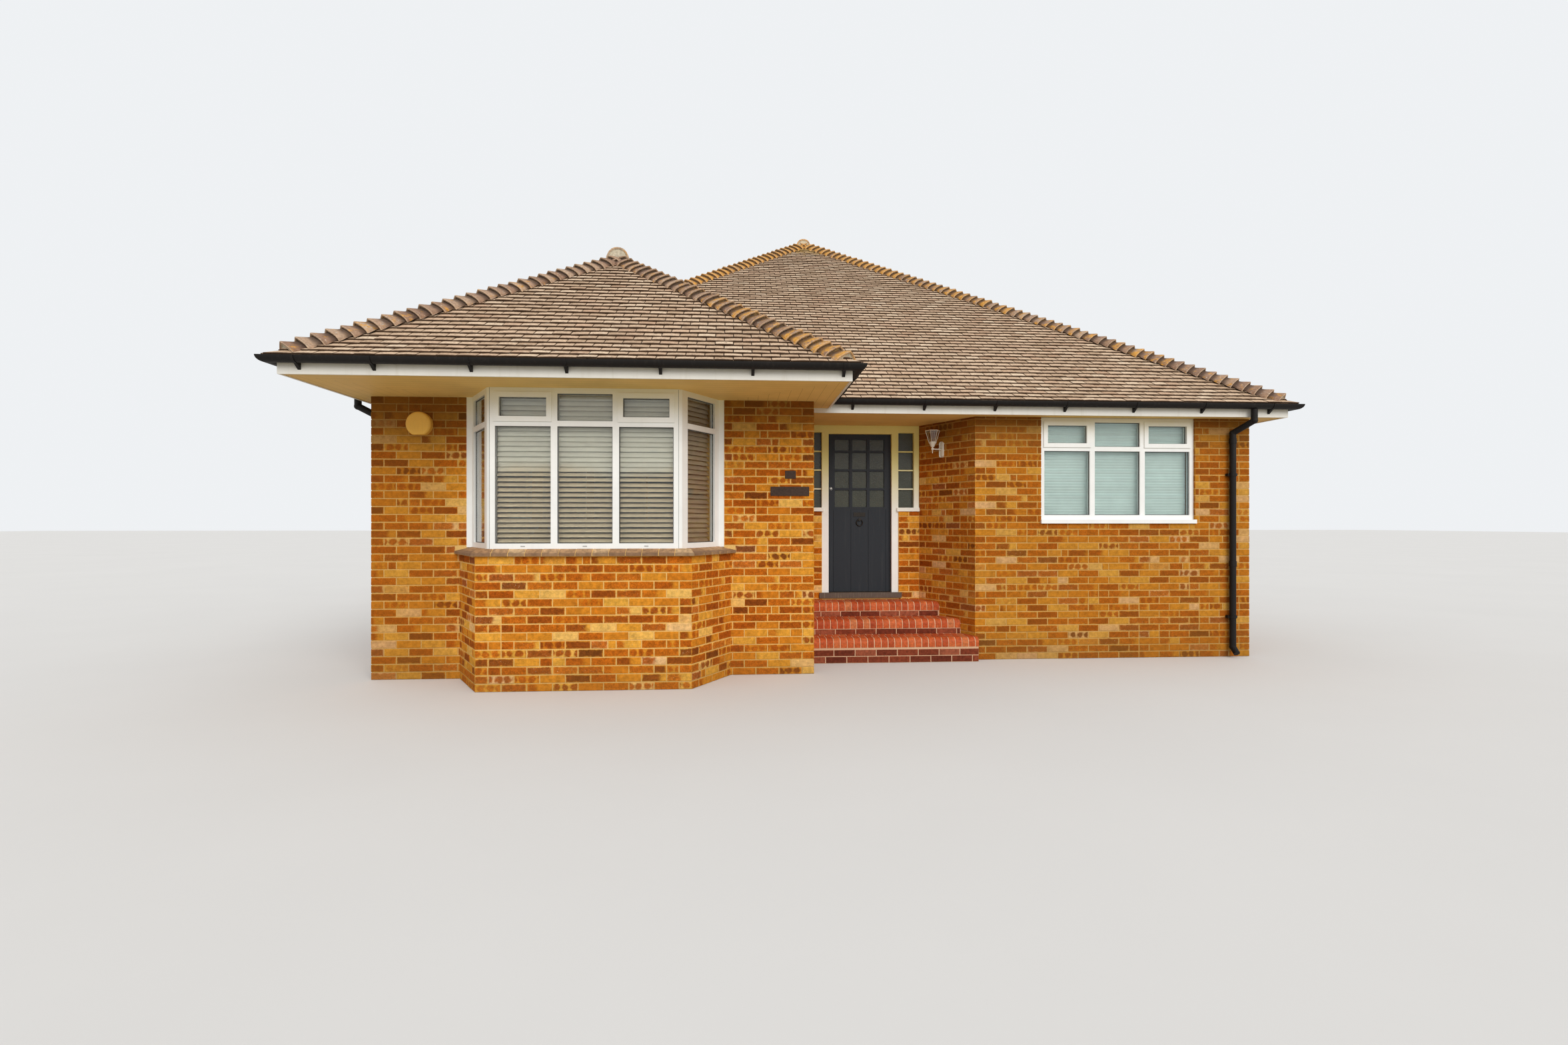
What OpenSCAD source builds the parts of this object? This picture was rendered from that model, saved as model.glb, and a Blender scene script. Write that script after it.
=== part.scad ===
// Hip-roofed bungalow with a canted bay in its front wing and a recessed front door.
// The front faces -Y and +Z is up. The origin lies under the middle of the whole
// building, gutters included, level with the lowest ground that the walls meet.

/* [Plan] */
// Width of the house outside its walls
house_w = 9550; // [8600:10:11000]
// Depth of the house, from the front of the wing to the rear wall
house_d = 11600; // [10800:10:14000]
// Width of the front wing outside its walls
wing_w = 4390; // [4100:10:4800]
// Distance of the front wall behind the front of the wing
front_setback = 630; // [450:10:900]
// Distance of the door wall behind the front of the wing
porch_setback = 1460; // [1300:10:1900]
// Width of the porch at its back, from the wing to the splayed wall
porch_w = 1480; // [1440:10:1700]
// How far the splayed wall widens the porch towards the front
splay_w = 430; // [200:10:600]
// Thickness of the outer walls
wall_t = 280; // [220:5:330]

/* [Heights] */
// Height of the finished floor
floor_z = 680; // [560:10:700]
// Thickness of the floor
floor_t = 150; // [80:5:200]
// Height of the soffit of the wing
soffit_z = 2800; // [2780:5:3000]
// How much lower the soffit of the main roof lies
soffit_drop = 44; // [20:1:60]
// Height of the top of the walls over the soffit of the wing
wall_rise = 40; // [20:5:60]
// Thickness of the ceiling
ceiling_t = 30; // [12:1:50]
// How far the ceiling lies on the walls
ceiling_seat = 100; // [40:5:150]

/* [Roof] */
// Pitch of every roof slope, in degrees
pitch = 35.5; // [33:0.1:40]
// Thickness of a roof slope, square to it
slope_t = 110; // [80:5:115]
// Height of the roof surface over the soffit, at the fascia
eaves_rise = 150; // [148:1:170]
// Overhang at the sides of the wing and at the left
side_eaves = 225; // [180:5:320]
// Overhang in front of the wing, which shelters the bay
wing_eaves = 1100; // [900:10:1250]
// Overhang in front of the front wall
front_eaves = 200; // [160:5:300]
// Overhang at the right and at the rear
back_eaves = 320; // [240:5:400]
// Thickness of the fascia boards
fascia_t = 22; // [18:1:30]
// How far the fascia boards hang below the soffit
fascia_lip = 6; // [0:1:15]
// Thickness of the soffit boards
soffit_t = 12; // [9:1:14]

/* [Hip and ridge tiles] */
// Radius of the hip and ridge tiles
hip_r = 110; // [95:1:130]
// Height of each hip tile's lower edge over the tile below it
hip_lip = 36; // [10:1:45]
// Distance from one hip tile to the next
hip_gauge = 129; // [120:1:200]
// Length of a ridge tile
ridge_gauge = 450; // [300:5:500]
// How deep the middle of the hip and ridge tiles lies below the hip line
hip_sink = 42; // [40:1:70]

/* [Rainwater] */
// Radius of the half-round gutters
gutter_r = 56; // [50:1:60]
// Thickness of the gutters
gutter_t = 4; // [3:0.5:6]
// Height of the gutter rim over the soffit
gutter_rise = 132; // [120:1:140]
// Greatest distance between the gutter brackets of the sides and the rear
bracket_gauge = 850; // [600:10:1000]
// Distance between the gutter brackets along the front
front_bracket_gauge = 795; // [600:5:1000]
// Diameter of the downpipes
pipe_d = 68; // [60:1:75]
// Gap between a downpipe and the wall
pipe_off = 20; // [10:1:40]

/* [Bay] */
// Width of the bay where it meets the wing
bay_w = 2690; // [2400:10:2900]
// Width of the front of the bay
bay_front_w = 1970; // [1700:10:2050]
// Projection of the bay
bay_d = 604; // [450:5:700]
// Thickness of the brickwork below the bay window
bay_wall_t = 220; // [200:5:280]
// Width of the corner posts in the front of the bay window
bay_post_w = 68; // [60:1:130]
// Height of the top of the brickwork below the bay window
bay_sill_z = 1244; // [1000:5:1400]
// Height of the sloping tile sill under the bay window
sill_tile_h = 64; // [50:1:80]
// Height of the tile sill at its outer edge
sill_edge_h = 25; // [20:1:35]
// How far the tile sill projects from the brickwork
sill_tile_out = 45; // [30:1:80]
// Distance of the bay window's front behind the face of its brickwork
bay_inset = 20; // [15:1:50]
// Distance of the bay window's canted sides behind the faces of their brickwork
cant_inset = 97; // [60:1:110]
// Width of the narrow face at each front corner of the bay window
corner_w = 33; // [15:1:40]
// Width of the boards that cover the joint between the bay window and the wall
cover_w = 45; // [25:1:60]
// Height of the bay window's transom
bay_transom_z = 2470; // [2350:5:2520]
// Height of the opening in the wing wall behind the bay
bay_head_z = 2560; // [2400:10:2600]

/* [Windows] */
// Share of the spare length of the front wall that lies left of its window
window_place = 0.54; // [0.4:0.01:0.6]
// Width of each window
window_w = 1835; // [1500:5:1900]
// Height of the window sills
window_sill_z = 1588; // [1300:5:1700]
// Height of the transom in the windows
window_transom_z = 2400; // [2300:5:2450]
// Distance of a window frame behind the wall face
window_inset = 25; // [20:1:100]
// Depth of the window frames
frame_d = 70; // [60:1:90]
// Width of the window frames
frame_w = 52; // [40:1:60]
// Width of the mullions between the panes
mullion_w = 60; // [45:1:75]
// Width of the opening lights' own frames
light_w = 38; // [30:1:45]
// How far the opening lights stand forward of the window frame
light_out = 12; // [6:1:20]
// How far the opening lights lap over the window frame
light_lap = 10; // [5:1:15]
// Thickness of the glass
glass_t = 20; // [12:1:24]
// Height of a window's sill board
sill_h = 45; // [30:1:60]
// How far a sill board projects from the wall
sill_out = 30; // [15:1:50]
// Thickness of the blinds
blind_t = 26; // [16:1:35]
// Gap between a window frame and its blind
blind_gap = 12; // [5:1:30]

/* [Front door] */
// Width of the door leaf
door_w = 813; // [762:1:826]
// Height of the door leaf
door_h = 1970; // [1950:1:2000]
// Thickness of the door leaf
door_t = 44; // [40:1:54]
// Gap round the door leaf
door_gap = 5; // [5:0.5:6]
// Width of the posts beside the door
post_w = 67; // [55:1:70]
// Width of the posts at the ends of the door frame
side_post_w = 65; // [50:1:75]
// Depth of the door frame
door_frame_d = 100; // [90:1:120]
// Thickness of the threshold
threshold_t = 66; // [50:1:75]
// How far the threshold projects from the door wall
threshold_out = 30; // [10:1:50]
// How far the threshold reaches past the posts, in front of the brickwork
threshold_ear = 34; // [10:1:50]
// Height of the brick panels below the sidelights
panel_z = 1692; // [1500:5:1750]
// Height of the sidelight sills
light_sill_h = 46; // [30:1:60]
// How far the sidelight sills project from the door frame
light_sill_out = 28; // [12:1:40]
// Width of the leaf's stiles
stile_w = 96; // [80:1:115]
// Height of the bottom of the leaf's glass over the floor
glass_foot = 1067; // [900:1:1150]
// Height of the bars between the leaf's rows of panes
bar_h = 26; // [18:1:30]
// Width of the bars between the leaf's columns of panes
bar_w = 38; // [20:1:40]
// Height of the bars in the sidelights
light_bar_h = 16; // [10:1:26]
// Radius of the hinge barrels
hinge_r = 7; // [5:0.5:8]

/* [Steps] */
// Rise from one step to the next
step_rise = 166; // [150:1:175]
// Depth of each tread
step_going = 312; // [280:1:320]
// Depth of the top tread, in front of the door wall
first_going = 320; // [290:1:330]
// Height of the top tread
top_step_z = 600; // [560:1:610]
// Radius of the bullnose
bullnose_r = 55; // [30:1:60]

/* [Hidden] */
eps = 1;
rise = tan(pitch);
slope_v = slope_t / cos(pitch);

// Eaves lines, at the outer face of the fascias
eaves_l = -side_eaves;
eaves_wing_r = wing_w + side_eaves;
eaves_wing_f = -wing_eaves;
eaves_f = front_setback - front_eaves;
eaves_r = house_w + back_eaves;
eaves_b = house_d + back_eaves;
main_soffit_z = soffit_z - soffit_drop;
wall_top = soffit_z + wall_rise;
wing_eaves_z = soffit_z + eaves_rise;
main_eaves_z = main_soffit_z + eaves_rise;

// Middle of the building, eaves included
mid_x = (eaves_l + eaves_r) / 2;
mid_y = (eaves_wing_f + eaves_b) / 2;

// Where the slopes meet: the left slope is shared by the wing and the main roof, and its
// eaves lie higher than the main roof's, which moves the hip at the rear by level_shift
level_shift = soffit_drop / rise;
wing_half = (eaves_wing_r - eaves_l) / 2;
wing_apex = [eaves_l + wing_half, eaves_wing_f + wing_half];
main_half = (eaves_r - eaves_l + level_shift) / 2;
main_apex = [eaves_r - main_half, eaves_f + main_half];
rear_apex = [eaves_r - main_half, eaves_b - main_half];
valley_foot = [eaves_wing_r, eaves_f + level_shift];
valley_top = [wing_apex[0], valley_foot[1] + wing_half];
wing_ridge_z = wing_eaves_z + wing_half * rise;
main_ridge_z = main_eaves_z + main_half * rise;

// The plane of each slope: its turn about +Z, its eaves line in the turned frame and the
// height of the roof surface there
wing_front_plane = [0, eaves_wing_f, wing_eaves_z];
wing_right_plane = [90, -eaves_wing_r, wing_eaves_z];
left_plane = [-90, eaves_l, wing_eaves_z];
front_plane = [0, eaves_f, main_eaves_z];
right_plane = [90, -eaves_r, main_eaves_z];
rear_plane = [180, -eaves_b, main_eaves_z];

// Porch plan: the splayed wall turns the corner between the door wall and the front wall
splay_back = [wing_w + porch_w, porch_setback];
splay_front = [splay_back[0] + splay_w, front_setback];
splay_run = porch_setback - front_setback;
splay_turn = atan2(splay_w, splay_run);
// Corner of the splayed wall at a depth behind its outer face
splay_mitre = tan((90 - splay_turn) / 2);
function behind(corner, depth) = corner + depth * [splay_mitre, 1];

// Door wall, laid out from the middle of the porch frame
frame_l = wing_w;
frame_r = splay_back[0];
frame_y = porch_setback + 10;
frame_back = frame_y + door_frame_d;
door_mid = (frame_l + frame_r) / 2;
door_l = door_mid - door_w / 2;
door_r = door_mid + door_w / 2;
post_l = door_l - door_gap - post_w;
post_r = door_r + door_gap + post_w;
sill_lip = 9;
door_sill_z = floor_z + sill_lip;
door_z = door_sill_z + door_gap;
head_z = door_z + door_h + door_gap;
leaf_y = frame_back - door_t;
stop_w = 12;

// Hinges stand behind the leaf on its right: the joint's axis runs through them
hinge_clear = 1;
hinge_x = door_r + door_gap / 2;
hinge_y = frame_back + hinge_r + hinge_clear;
hinge_h = 50;
hinge_split = 0.3;
hinge_plate_w = 32;
hinge_plate_t = 3;
hinge_inset = 200;
hinge_z = [door_z + hinge_inset, door_z + door_h / 2, door_z + door_h - hinge_inset];

module at_home() { translate([-mid_x, -mid_y, 0]) children(); }

module block(from, to) { translate(from) cube(to - from); }

// A round bar from one point to another
module rod(from, to, d) {
    way = to - from;
    translate(from) rotate([0, acos(way[2] / norm(way)), atan2(way[1], way[0])])
        cylinder(d = d, h = norm(way), $fn = 32);
}

module brick() { color([0.74, 0.49, 0.24]) at_home() children(); }
module white() { color([0.93, 0.93, 0.9]) at_home() children(); }
module glazing() { color([0.55, 0.68, 0.68, 0.6]) at_home() children(); }
module tiled() { color([0.66, 0.5, 0.42]) at_home() children(); }
module black() { color([0.1, 0.1, 0.1]) at_home() children(); }

// Windows of the hidden sides, like the front window: distances along their walls
right_window_at = [2300, 7300];
rear_window_at = [1300, 6200];
left_window_at = [3400, 7900];
window_x = splay_front[0] + window_place * (house_w - splay_front[0] - window_w);
window_head_z = main_soffit_z;
window_h = window_head_z - window_sill_z;
window_transom_h = window_transom_z - window_sill_z;

module wing_front_wall() {
    brick() difference() {
        block([0, 0, 0], [wing_w, wall_t, wall_top]);
        block([bay_mid - bay_open / 2, -eps, floor_z],
              [bay_mid + bay_open / 2, wall_t + eps, bay_head_z]);
    }
}

module wing_right_wall() {
    brick() block([wing_w - wall_t, wall_t, 0], [wing_w, porch_setback + wall_t, wall_top]);
}

// Opening for a window and its sill board, in the window's own frame
module window_opening() {
    translate([0, -window_inset - eps, -sill_h]) cube([window_w, wall_t + 2 * eps, window_h + sill_h]);
}

module left_wall() {
    brick() difference() {
        block([0, wall_t, 0], [wall_t, house_d - wall_t, wall_top]);
        at_left_windows() window_opening();
    }
}

module right_wall() {
    brick() difference() {
        block([house_w - wall_t, front_setback + wall_t, 0], [house_w, house_d - wall_t, wall_top]);
        at_right_windows() window_opening();
    }
}

module rear_wall() {
    brick() difference() {
        block([0, house_d - wall_t, 0], [house_w, house_d, wall_top]);
        at_rear_windows() window_opening();
    }
}

module front_wall() {
    brick() difference() {
        linear_extrude(wall_top) polygon([
            splay_front, [house_w, front_setback], [house_w, front_setback + wall_t],
            behind(splay_front, wall_t)
        ]);
        at_front_window() window_opening();
    }
}

module porch_splay_wall() {
    brick() linear_extrude(wall_top)
        polygon([splay_back, splay_front, behind(splay_front, wall_t), behind(splay_back, wall_t)]);
}

function door_wall_plan() = [
    [wing_w, porch_setback], splay_back, behind(splay_back, wall_t), [wing_w, porch_setback + wall_t]
];

// Brick panels under the sidelights, and the brickwork under the threshold between them
module porch_panels() {
    brick() difference() {
        linear_extrude(panel_z) polygon(door_wall_plan());
        block([post_l, porch_setback - eps, door_sill_z - threshold_t],
              [post_r, porch_setback + wall_t + eps, panel_z + eps]);
    }
}

// Brickwork over the door frame
module porch_head_wall() {
    brick() translate([0, 0, main_soffit_z]) linear_extrude(wall_top - main_soffit_z)
        polygon(door_wall_plan());
}

// The rooms' outline at a depth behind the walls' outer faces
function room_outline(depth) = [
    [depth, depth], [wing_w - depth, depth], [wing_w - depth, porch_setback + depth],
    behind(splay_back, depth), behind(splay_front, depth),
    [house_w - depth, front_setback + depth], [house_w - depth, house_d - depth],
    [depth, house_d - depth]
];

// The floor of the rooms with its tongue in the doorway, and the floor of the bay, which
// ends a little short of the bay's walls
bay_floor_gap = 1;
module floor() {
    color([0.62, 0.5, 0.38]) at_home() {
        translate([0, 0, floor_z - floor_t]) linear_extrude(floor_t) polygon(room_outline(wall_t));
        block([post_l, frame_back, door_sill_z - threshold_t], [post_r, porch_setback + wall_t, floor_z]);
        translate([0, 0, floor_z - floor_t]) linear_extrude(floor_t)
            polygon(bay_plan(bay_wall_t + bay_floor_gap));
    }
}

// The ceiling lies on the inner edge of the walls
module ceiling() {
    color([0.95, 0.95, 0.93]) at_home() translate([0, 0, wall_top]) linear_extrude(ceiling_t)
        polygon(room_outline(wall_t - ceiling_seat));
}

// Plan of the bay, moved in by an inset, with its canted sides moved in by a little extra, and
// ended at a distance behind the wing's face
bay_mid = wing_w / 2;
cant_turn = atan2((bay_w - bay_front_w) / 2, bay_d);
function bay_half(inset, y) = bay_w / 2 - inset / cos(cant_turn) + y * tan(cant_turn);
function bay_plan(inset, back = 0, extra = 0) = let (front = inset - bay_d, side = inset + extra) [
    [bay_mid - bay_half(side, back), back], [bay_mid - bay_half(side, front), front],
    [bay_mid + bay_half(side, front), front], [bay_mid + bay_half(side, back), back]
];
bay_open = 2 * bay_half(bay_wall_t, 0);
bay_z0 = bay_sill_z + sill_tile_h;
bay_h = soffit_z - bay_z0;
bay_transom_h = bay_transom_z - bay_z0;
cant_extra = cant_inset - bay_inset;
bay_glass_w = 2 * bay_half(cant_inset, bay_inset - bay_d);

module bay_ring(outer, inner, h, extra = 0) {
    linear_extrude(h) difference() {
        polygon(bay_plan(outer, 0, extra));
        polygon(bay_plan(inner, eps, extra));
    }
}

module bay_base() { brick() bay_ring(0, bay_wall_t, bay_sill_z); }

// The tile sill falls away from the window on all three sides
module bay_sill() {
    tiled() difference() {
        translate([0, 0, bay_sill_z]) bay_ring(-sill_tile_out, bay_wall_t, sill_tile_h);
        translate([bay_mid, bay_inset - bay_d, bay_sill_z]) above_sill(bay_inset + sill_tile_out);
        for (side = [0, 1]) translate([bay_mid, 0, bay_sill_z]) mirror([side, 0, 0])
            translate([bay_half(cant_inset, 0), 0, 0]) rotate([0, 0, 90 - cant_turn])
                above_sill(cant_inset + sill_tile_out);
    }
}

// What lies above the slope of the sill, which falls towards -y over a run
module above_sill(run) {
    drop = sill_tile_h - sill_edge_h;
    rotate([90, 0, 90]) translate([0, 0, -bay_w]) linear_extrude(2 * bay_w) polygon([
        [run, sill_tile_h + drop], [-3 * run, sill_tile_h - 3 * drop],
        [-3 * run, 3 * sill_tile_h], [run, 3 * sill_tile_h]
    ]);
}

// Panes of a window in three columns with a transom, between posts at its ends: x, z, width
// and height of each. The outer two above the transom are in opening lights.
function light_at(i, j) = j == 1 && i != 1;
function panes(w, h, transom, post) = [
    for (i = [0 : 2], j = [0 : 1]) let (
        pane_w = (w - 2 * post - 2 * mullion_w) / 3,
        z0 = j == 0 ? frame_w : transom + frame_w / 2,
        z1 = j == 0 ? transom - frame_w / 2 : h - frame_w,
        inset = light_at(i, j) ? light_w : 0
    ) [post + i * (pane_w + mullion_w) + inset, z0 + inset, pane_w - 2 * inset, z1 - z0 - 2 * inset, inset]
];

// Holes through a frame whose outer face lies at y = 0
module pane_holes(w, h, transom, post = frame_w) {
    for (p = panes(w, h, transom, post))
        translate([p[0], -light_out - eps, p[1]]) cube([p[2], frame_d + light_out + 2 * eps, p[3]]);
}

// The opening lights' own frames, where they stand forward of the window frame
module light_pads(w, h, transom, post = frame_w) {
    for (p = panes(w, h, transom, post)) if (p[4] > 0) {
        lap = p[4] + light_lap;
        translate([p[0] - lap, -light_out, p[1] - lap])
            cube([p[2] + 2 * lap, light_out + eps, p[3] + 2 * lap]);
    }
}

module window_frame() {
    difference() {
        union() {
            cube([window_w, frame_d, window_h]);
            light_pads(window_w, window_h, window_transom_h);
        }
        pane_holes(window_w, window_h, window_transom_h);
    }
    window_sill();
}

// Sill board through the wall, with ears outside
sill_ear = 4;
module window_sill() {
    translate([-sill_ear, -window_inset - sill_out, -sill_h])
        cube([window_w + 2 * sill_ear, sill_out, sill_h]);
    translate([0, -window_inset - eps, -sill_h]) cube([window_w, wall_t + eps, sill_h]);
}

module window_glass() {
    intersection() {
        translate([0, (frame_d - glass_t) / 2, 0]) cube([window_w, glass_t, window_h]);
        pane_holes(window_w, window_h, window_transom_h);
    }
}

// Places of the windows: the child is drawn in the window's own frame
module at_front_window() {
    translate([window_x, front_setback + window_inset, window_sill_z]) children();
}

module at_right_windows() {
    for (y = right_window_at)
        translate([house_w - window_inset, y, window_sill_z]) rotate([0, 0, 90]) children();
}

module at_left_windows() {
    for (y = left_window_at)
        translate([window_inset, y + window_w, window_sill_z]) rotate([0, 0, -90]) children();
}

module at_rear_windows() {
    for (x = rear_window_at)
        translate([x + window_w, house_d - window_inset, window_sill_z]) rotate([0, 0, 180]) children();
}

module front_window_frame() { white() at_front_window() window_frame(); }

module front_window_glass() { glazing() at_front_window() window_glass(); }

module side_window_frames() {
    white() {
        at_right_windows() window_frame();
        at_left_windows() window_frame();
        at_rear_windows() window_frame();
    }
}

module side_window_glass() {
    glazing() {
        at_right_windows() window_glass();
        at_left_windows() window_glass();
        at_rear_windows() window_glass();
    }
}

// Front of the bay window, drawn in its own frame
module at_bay_front() {
    translate([bay_mid - bay_glass_w / 2, bay_inset - bay_d, bay_z0]) children();
}

module bay_frame() {
    white() difference() {
        union() {
            translate([0, 0, bay_z0]) linear_extrude(bay_h) difference() {
                polygon(bay_frame_plan());
                polygon(bay_plan(bay_inset + frame_d, eps, cant_extra));
            }
            at_bay_front() light_pads(bay_glass_w, bay_h, bay_transom_h, bay_post_w);
            for (side = [0, 1]) translate([bay_mid, 0, bay_z0]) mirror([side, 0, 0]) cover_board();
        }
        bay_holes();
    }
}

// Outline of the bay window with a narrow face at each front corner
function bay_frame_plan() = let (
    half = bay_half(cant_inset, 0), front = bay_inset - bay_d, corner = bay_glass_w / 2,
    cut = corner_w / 2 / cos(45 - cant_turn / 2),
    side = [corner + cut * sin(cant_turn), front + cut * cos(cant_turn)]
) [
    [bay_mid - half, 0], [bay_mid - side[0], side[1]], [bay_mid - corner + cut, front],
    [bay_mid + corner - cut, front], [bay_mid + side[0], side[1]], [bay_mid + half, 0]
];

// Board on the wall beside the bay window, which laps into its frame
cover_t = 12;
module cover_board() {
    block([bay_half(cant_inset, 0) - frame_d / 2, -cover_t, 0], [bay_half(cant_inset, 0) + cover_w, 0, bay_h]);
}

// Holes for the bay's panes: three columns in front and one in each cant
module bay_holes() {
    at_bay_front() pane_holes(bay_glass_w, bay_h, bay_transom_h, bay_post_w);
    for (side = [0, 1]) translate([bay_mid, 0, bay_z0]) mirror([side, 0, 0]) cant_holes();
}

// Widths of a cant's posts at the front corner and at the wall
cant_posts = [112, 90];
module cant_holes() {
    cant_len = norm([bay_half(cant_inset, 0) - bay_glass_w / 2, bay_d - bay_inset]);
    translate([bay_half(cant_inset, 0), 0, 0]) rotate([0, 0, -cant_turn])
        for (z = [[frame_w, bay_transom_h - frame_w / 2], [bay_transom_h + frame_w / 2, bay_h - frame_w]])
            block([-frame_d - eps, cant_posts[0] - cant_len, z[0]], [eps, -cant_posts[1], z[1]]);
}

module bay_glass() {
    inset = bay_inset + (frame_d - glass_t) / 2;
    glazing() intersection() {
        translate([0, 0, bay_z0]) bay_ring(inset, inset + glass_t, bay_h, cant_extra);
        bay_holes();
    }
}

// Blinds hang from the window head and from the soffit over the bay
module window_blinds() {
    inset = bay_inset + frame_d + blind_gap;
    color([0.9, 0.87, 0.8]) at_home() {
        translate([window_x + frame_w, front_setback + window_inset + frame_d + blind_gap,
                   window_sill_z + frame_w])
            cube([window_w - 2 * frame_w, blind_t, window_h - frame_w]);
        translate([0, 0, bay_z0 + frame_w])
            bay_ring(inset, inset + blind_t, bay_h - frame_w, cant_extra);
    }
}

// Frame round the door and the sidelights, with stops for the leaf and the lower half of
// each hinge
module door_frame() {
    white() {
        block([frame_l, frame_y, head_z], [frame_r, frame_back, main_soffit_z]);
        for (x = [frame_l, frame_r - side_post_w])
            block([x, frame_y, panel_z], [x + side_post_w, frame_back, head_z]);
        for (x = [post_l, door_r + door_gap])
            block([x, frame_y, door_sill_z], [x + post_w, frame_back, head_z]);
        door_stop();
        sidelight_bars(frame_l + side_post_w, post_l);
        sidelight_bars(post_r, frame_r - side_post_w);
        sidelight_sills();
        for (z = hinge_z) {
            translate([hinge_x, hinge_y, z - hinge_h]) cylinder(r = hinge_r, h = hinge_h, $fn = 32);
            block([hinge_x, frame_back, z - hinge_h],
                  [hinge_x + hinge_plate_w, hinge_y - hinge_r + hinge_plate_t, z]);
        }
    }
}

module door_stop() {
    stop_y = leaf_y - door_gap;
    block([door_l - door_gap, frame_y, door_sill_z], [door_l + stop_w, stop_y, head_z]);
    block([door_r - stop_w, frame_y, door_sill_z], [door_r + door_gap, stop_y, head_z]);
    block([door_l - door_gap, frame_y, head_z - door_gap - stop_w], [door_r + door_gap, stop_y, head_z]);
}

// A sidelight's sill and bars, which line up with the bars of the leaf
light_rows = 4;
light_foot = panel_z + light_sill_h;
bar_mid_z = [for (i = [1 : light_rows - 1]) light_foot + i * (head_z - light_foot) / light_rows];
bar_y = frame_y + 30;
bar_d = 30;
module sidelight_bars(x0, x1) {
    block([x0 - eps, frame_y, panel_z], [x1 + eps, frame_back, light_foot]);
    for (z = bar_mid_z)
        block([x0 - eps, bar_y, z - light_bar_h / 2], [x1 + eps, bar_y + bar_d, z + light_bar_h / 2]);
}

// The sills' front boards: they reach from the porch wall a little way past the door posts
sill_lap = 20;
module sidelight_sills() {
    for (x = [[frame_l, post_l + sill_lap], [post_r - sill_lap, frame_r]])
        block([x[0], frame_y - light_sill_out, panel_z], [x[1], frame_y + eps, light_foot]);
}

module sidelight_glass() {
    glazing() for (x = [[frame_l + side_post_w, post_l], [post_r, frame_r - side_post_w]])
        block([x[0], bar_y + bar_d, light_foot], [x[1], bar_y + bar_d + pane_t, head_z]);
}

module threshold() {
    color([0.22, 0.18, 0.15]) at_home() {
        block([post_l, porch_setback - threshold_out, door_sill_z - threshold_t],
              [post_r, frame_back, door_sill_z]);
        block([post_l - threshold_ear, porch_setback - threshold_out, door_sill_z - threshold_t],
              [post_r + threshold_ear, porch_setback, door_sill_z]);
    }
}

// One step, from its front edge back to the next step or to the door wall
module step(n) {
    front = porch_setback - first_going - n * step_going;
    back = n == 0 ? porch_setback : front + step_going;
    top = top_step_z - n * step_rise;
    color([0.68, 0.3, 0.18]) at_home() difference() {
        linear_extrude(top) polygon(step_plan(front, back));
        nose_cut(front, top);
    }
}

// Where the splayed wall lies at a distance behind the front of the wing
function splay_x(y) = splay_back[0] + splay_w * (porch_setback - max(y, front_setback)) / splay_run;

function step_plan(front, back) = front < front_setback && back > front_setback
    ? [[wing_w, front], [splay_x(front), front], splay_front, [splay_x(back), back], [wing_w, back]]
    : [[wing_w, front], [splay_x(front), front], [splay_x(back), back], [wing_w, back]];

// Takes the sharp edge off the front of a tread, down to its bullnose radius
module nose_cut(front, top) {
    cut_l = 2 * house_w;
    translate([wing_w - cut_l / 2, front, top - bullnose_r]) difference() {
        translate([0, -eps, 0]) cube([cut_l, bullnose_r + eps, bullnose_r + eps]);
        translate([-eps, bullnose_r, 0]) rotate([0, 90, 0])
            cylinder(r = bullnose_r, h = cut_l + 2 * eps, $fn = 64);
    }
}

module step_top() { step(0); }
module step_middle() { step(1); }
module step_bottom() { step(2); }

// The leaf: glazed above in three columns and four rows, boarded below. Its bars lie level
// with those of the sidelights, so the top row is the lowest in height.
leaf_head = 78;
pane_t = 6;
groove_w = 8;
groove_d = 6;
board_gap = 36;
leaf_glass_z = floor_z + glass_foot;
col_w = (door_w - 2 * stile_w - 2 * bar_w) / 3;
row_foot = concat([leaf_glass_z], [for (z = bar_mid_z) z + bar_h / 2]);
row_top = concat([for (z = bar_mid_z) z - bar_h / 2], [door_z + door_h - leaf_head]);
module leaf_panes(y0, y1) {
    for (i = [0 : 2], j = [0 : light_rows - 1]) {
        x = door_l + stile_w + i * (col_w + bar_w);
        block([x, y0, row_foot[j]], [x + col_w, y1, row_top[j]]);
    }
}

module front_door() {
    color([0.2, 0.22, 0.26]) at_home() {
        difference() {
            block([door_l, leaf_y, door_z], [door_r, frame_back, door_z + door_h]);
            leaf_panes(leaf_y - eps, frame_back + eps);
            for (i = [0 : 3]) {
                x = door_l + stile_w - bar_w / 2 + i * (col_w + bar_w);
                block([x - groove_w / 2, leaf_y - eps, door_z - eps],
                      [x + groove_w / 2, leaf_y + groove_d, leaf_glass_z - board_gap]);
            }
        }
        for (z = hinge_z) {
            translate([hinge_x, hinge_y, z + hinge_split]) cylinder(r = hinge_r, h = hinge_h, $fn = 32);
            block([hinge_x - hinge_plate_w, frame_back, z + hinge_split],
                  [hinge_x, hinge_y - hinge_r + hinge_plate_t, z + hinge_split + hinge_h]);
        }
    }
}

module door_glass() {
    pane_y = leaf_y + (door_t - pane_t) / 2;
    glazing() leaf_panes(pane_y, pane_y + pane_t);
}

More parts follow.
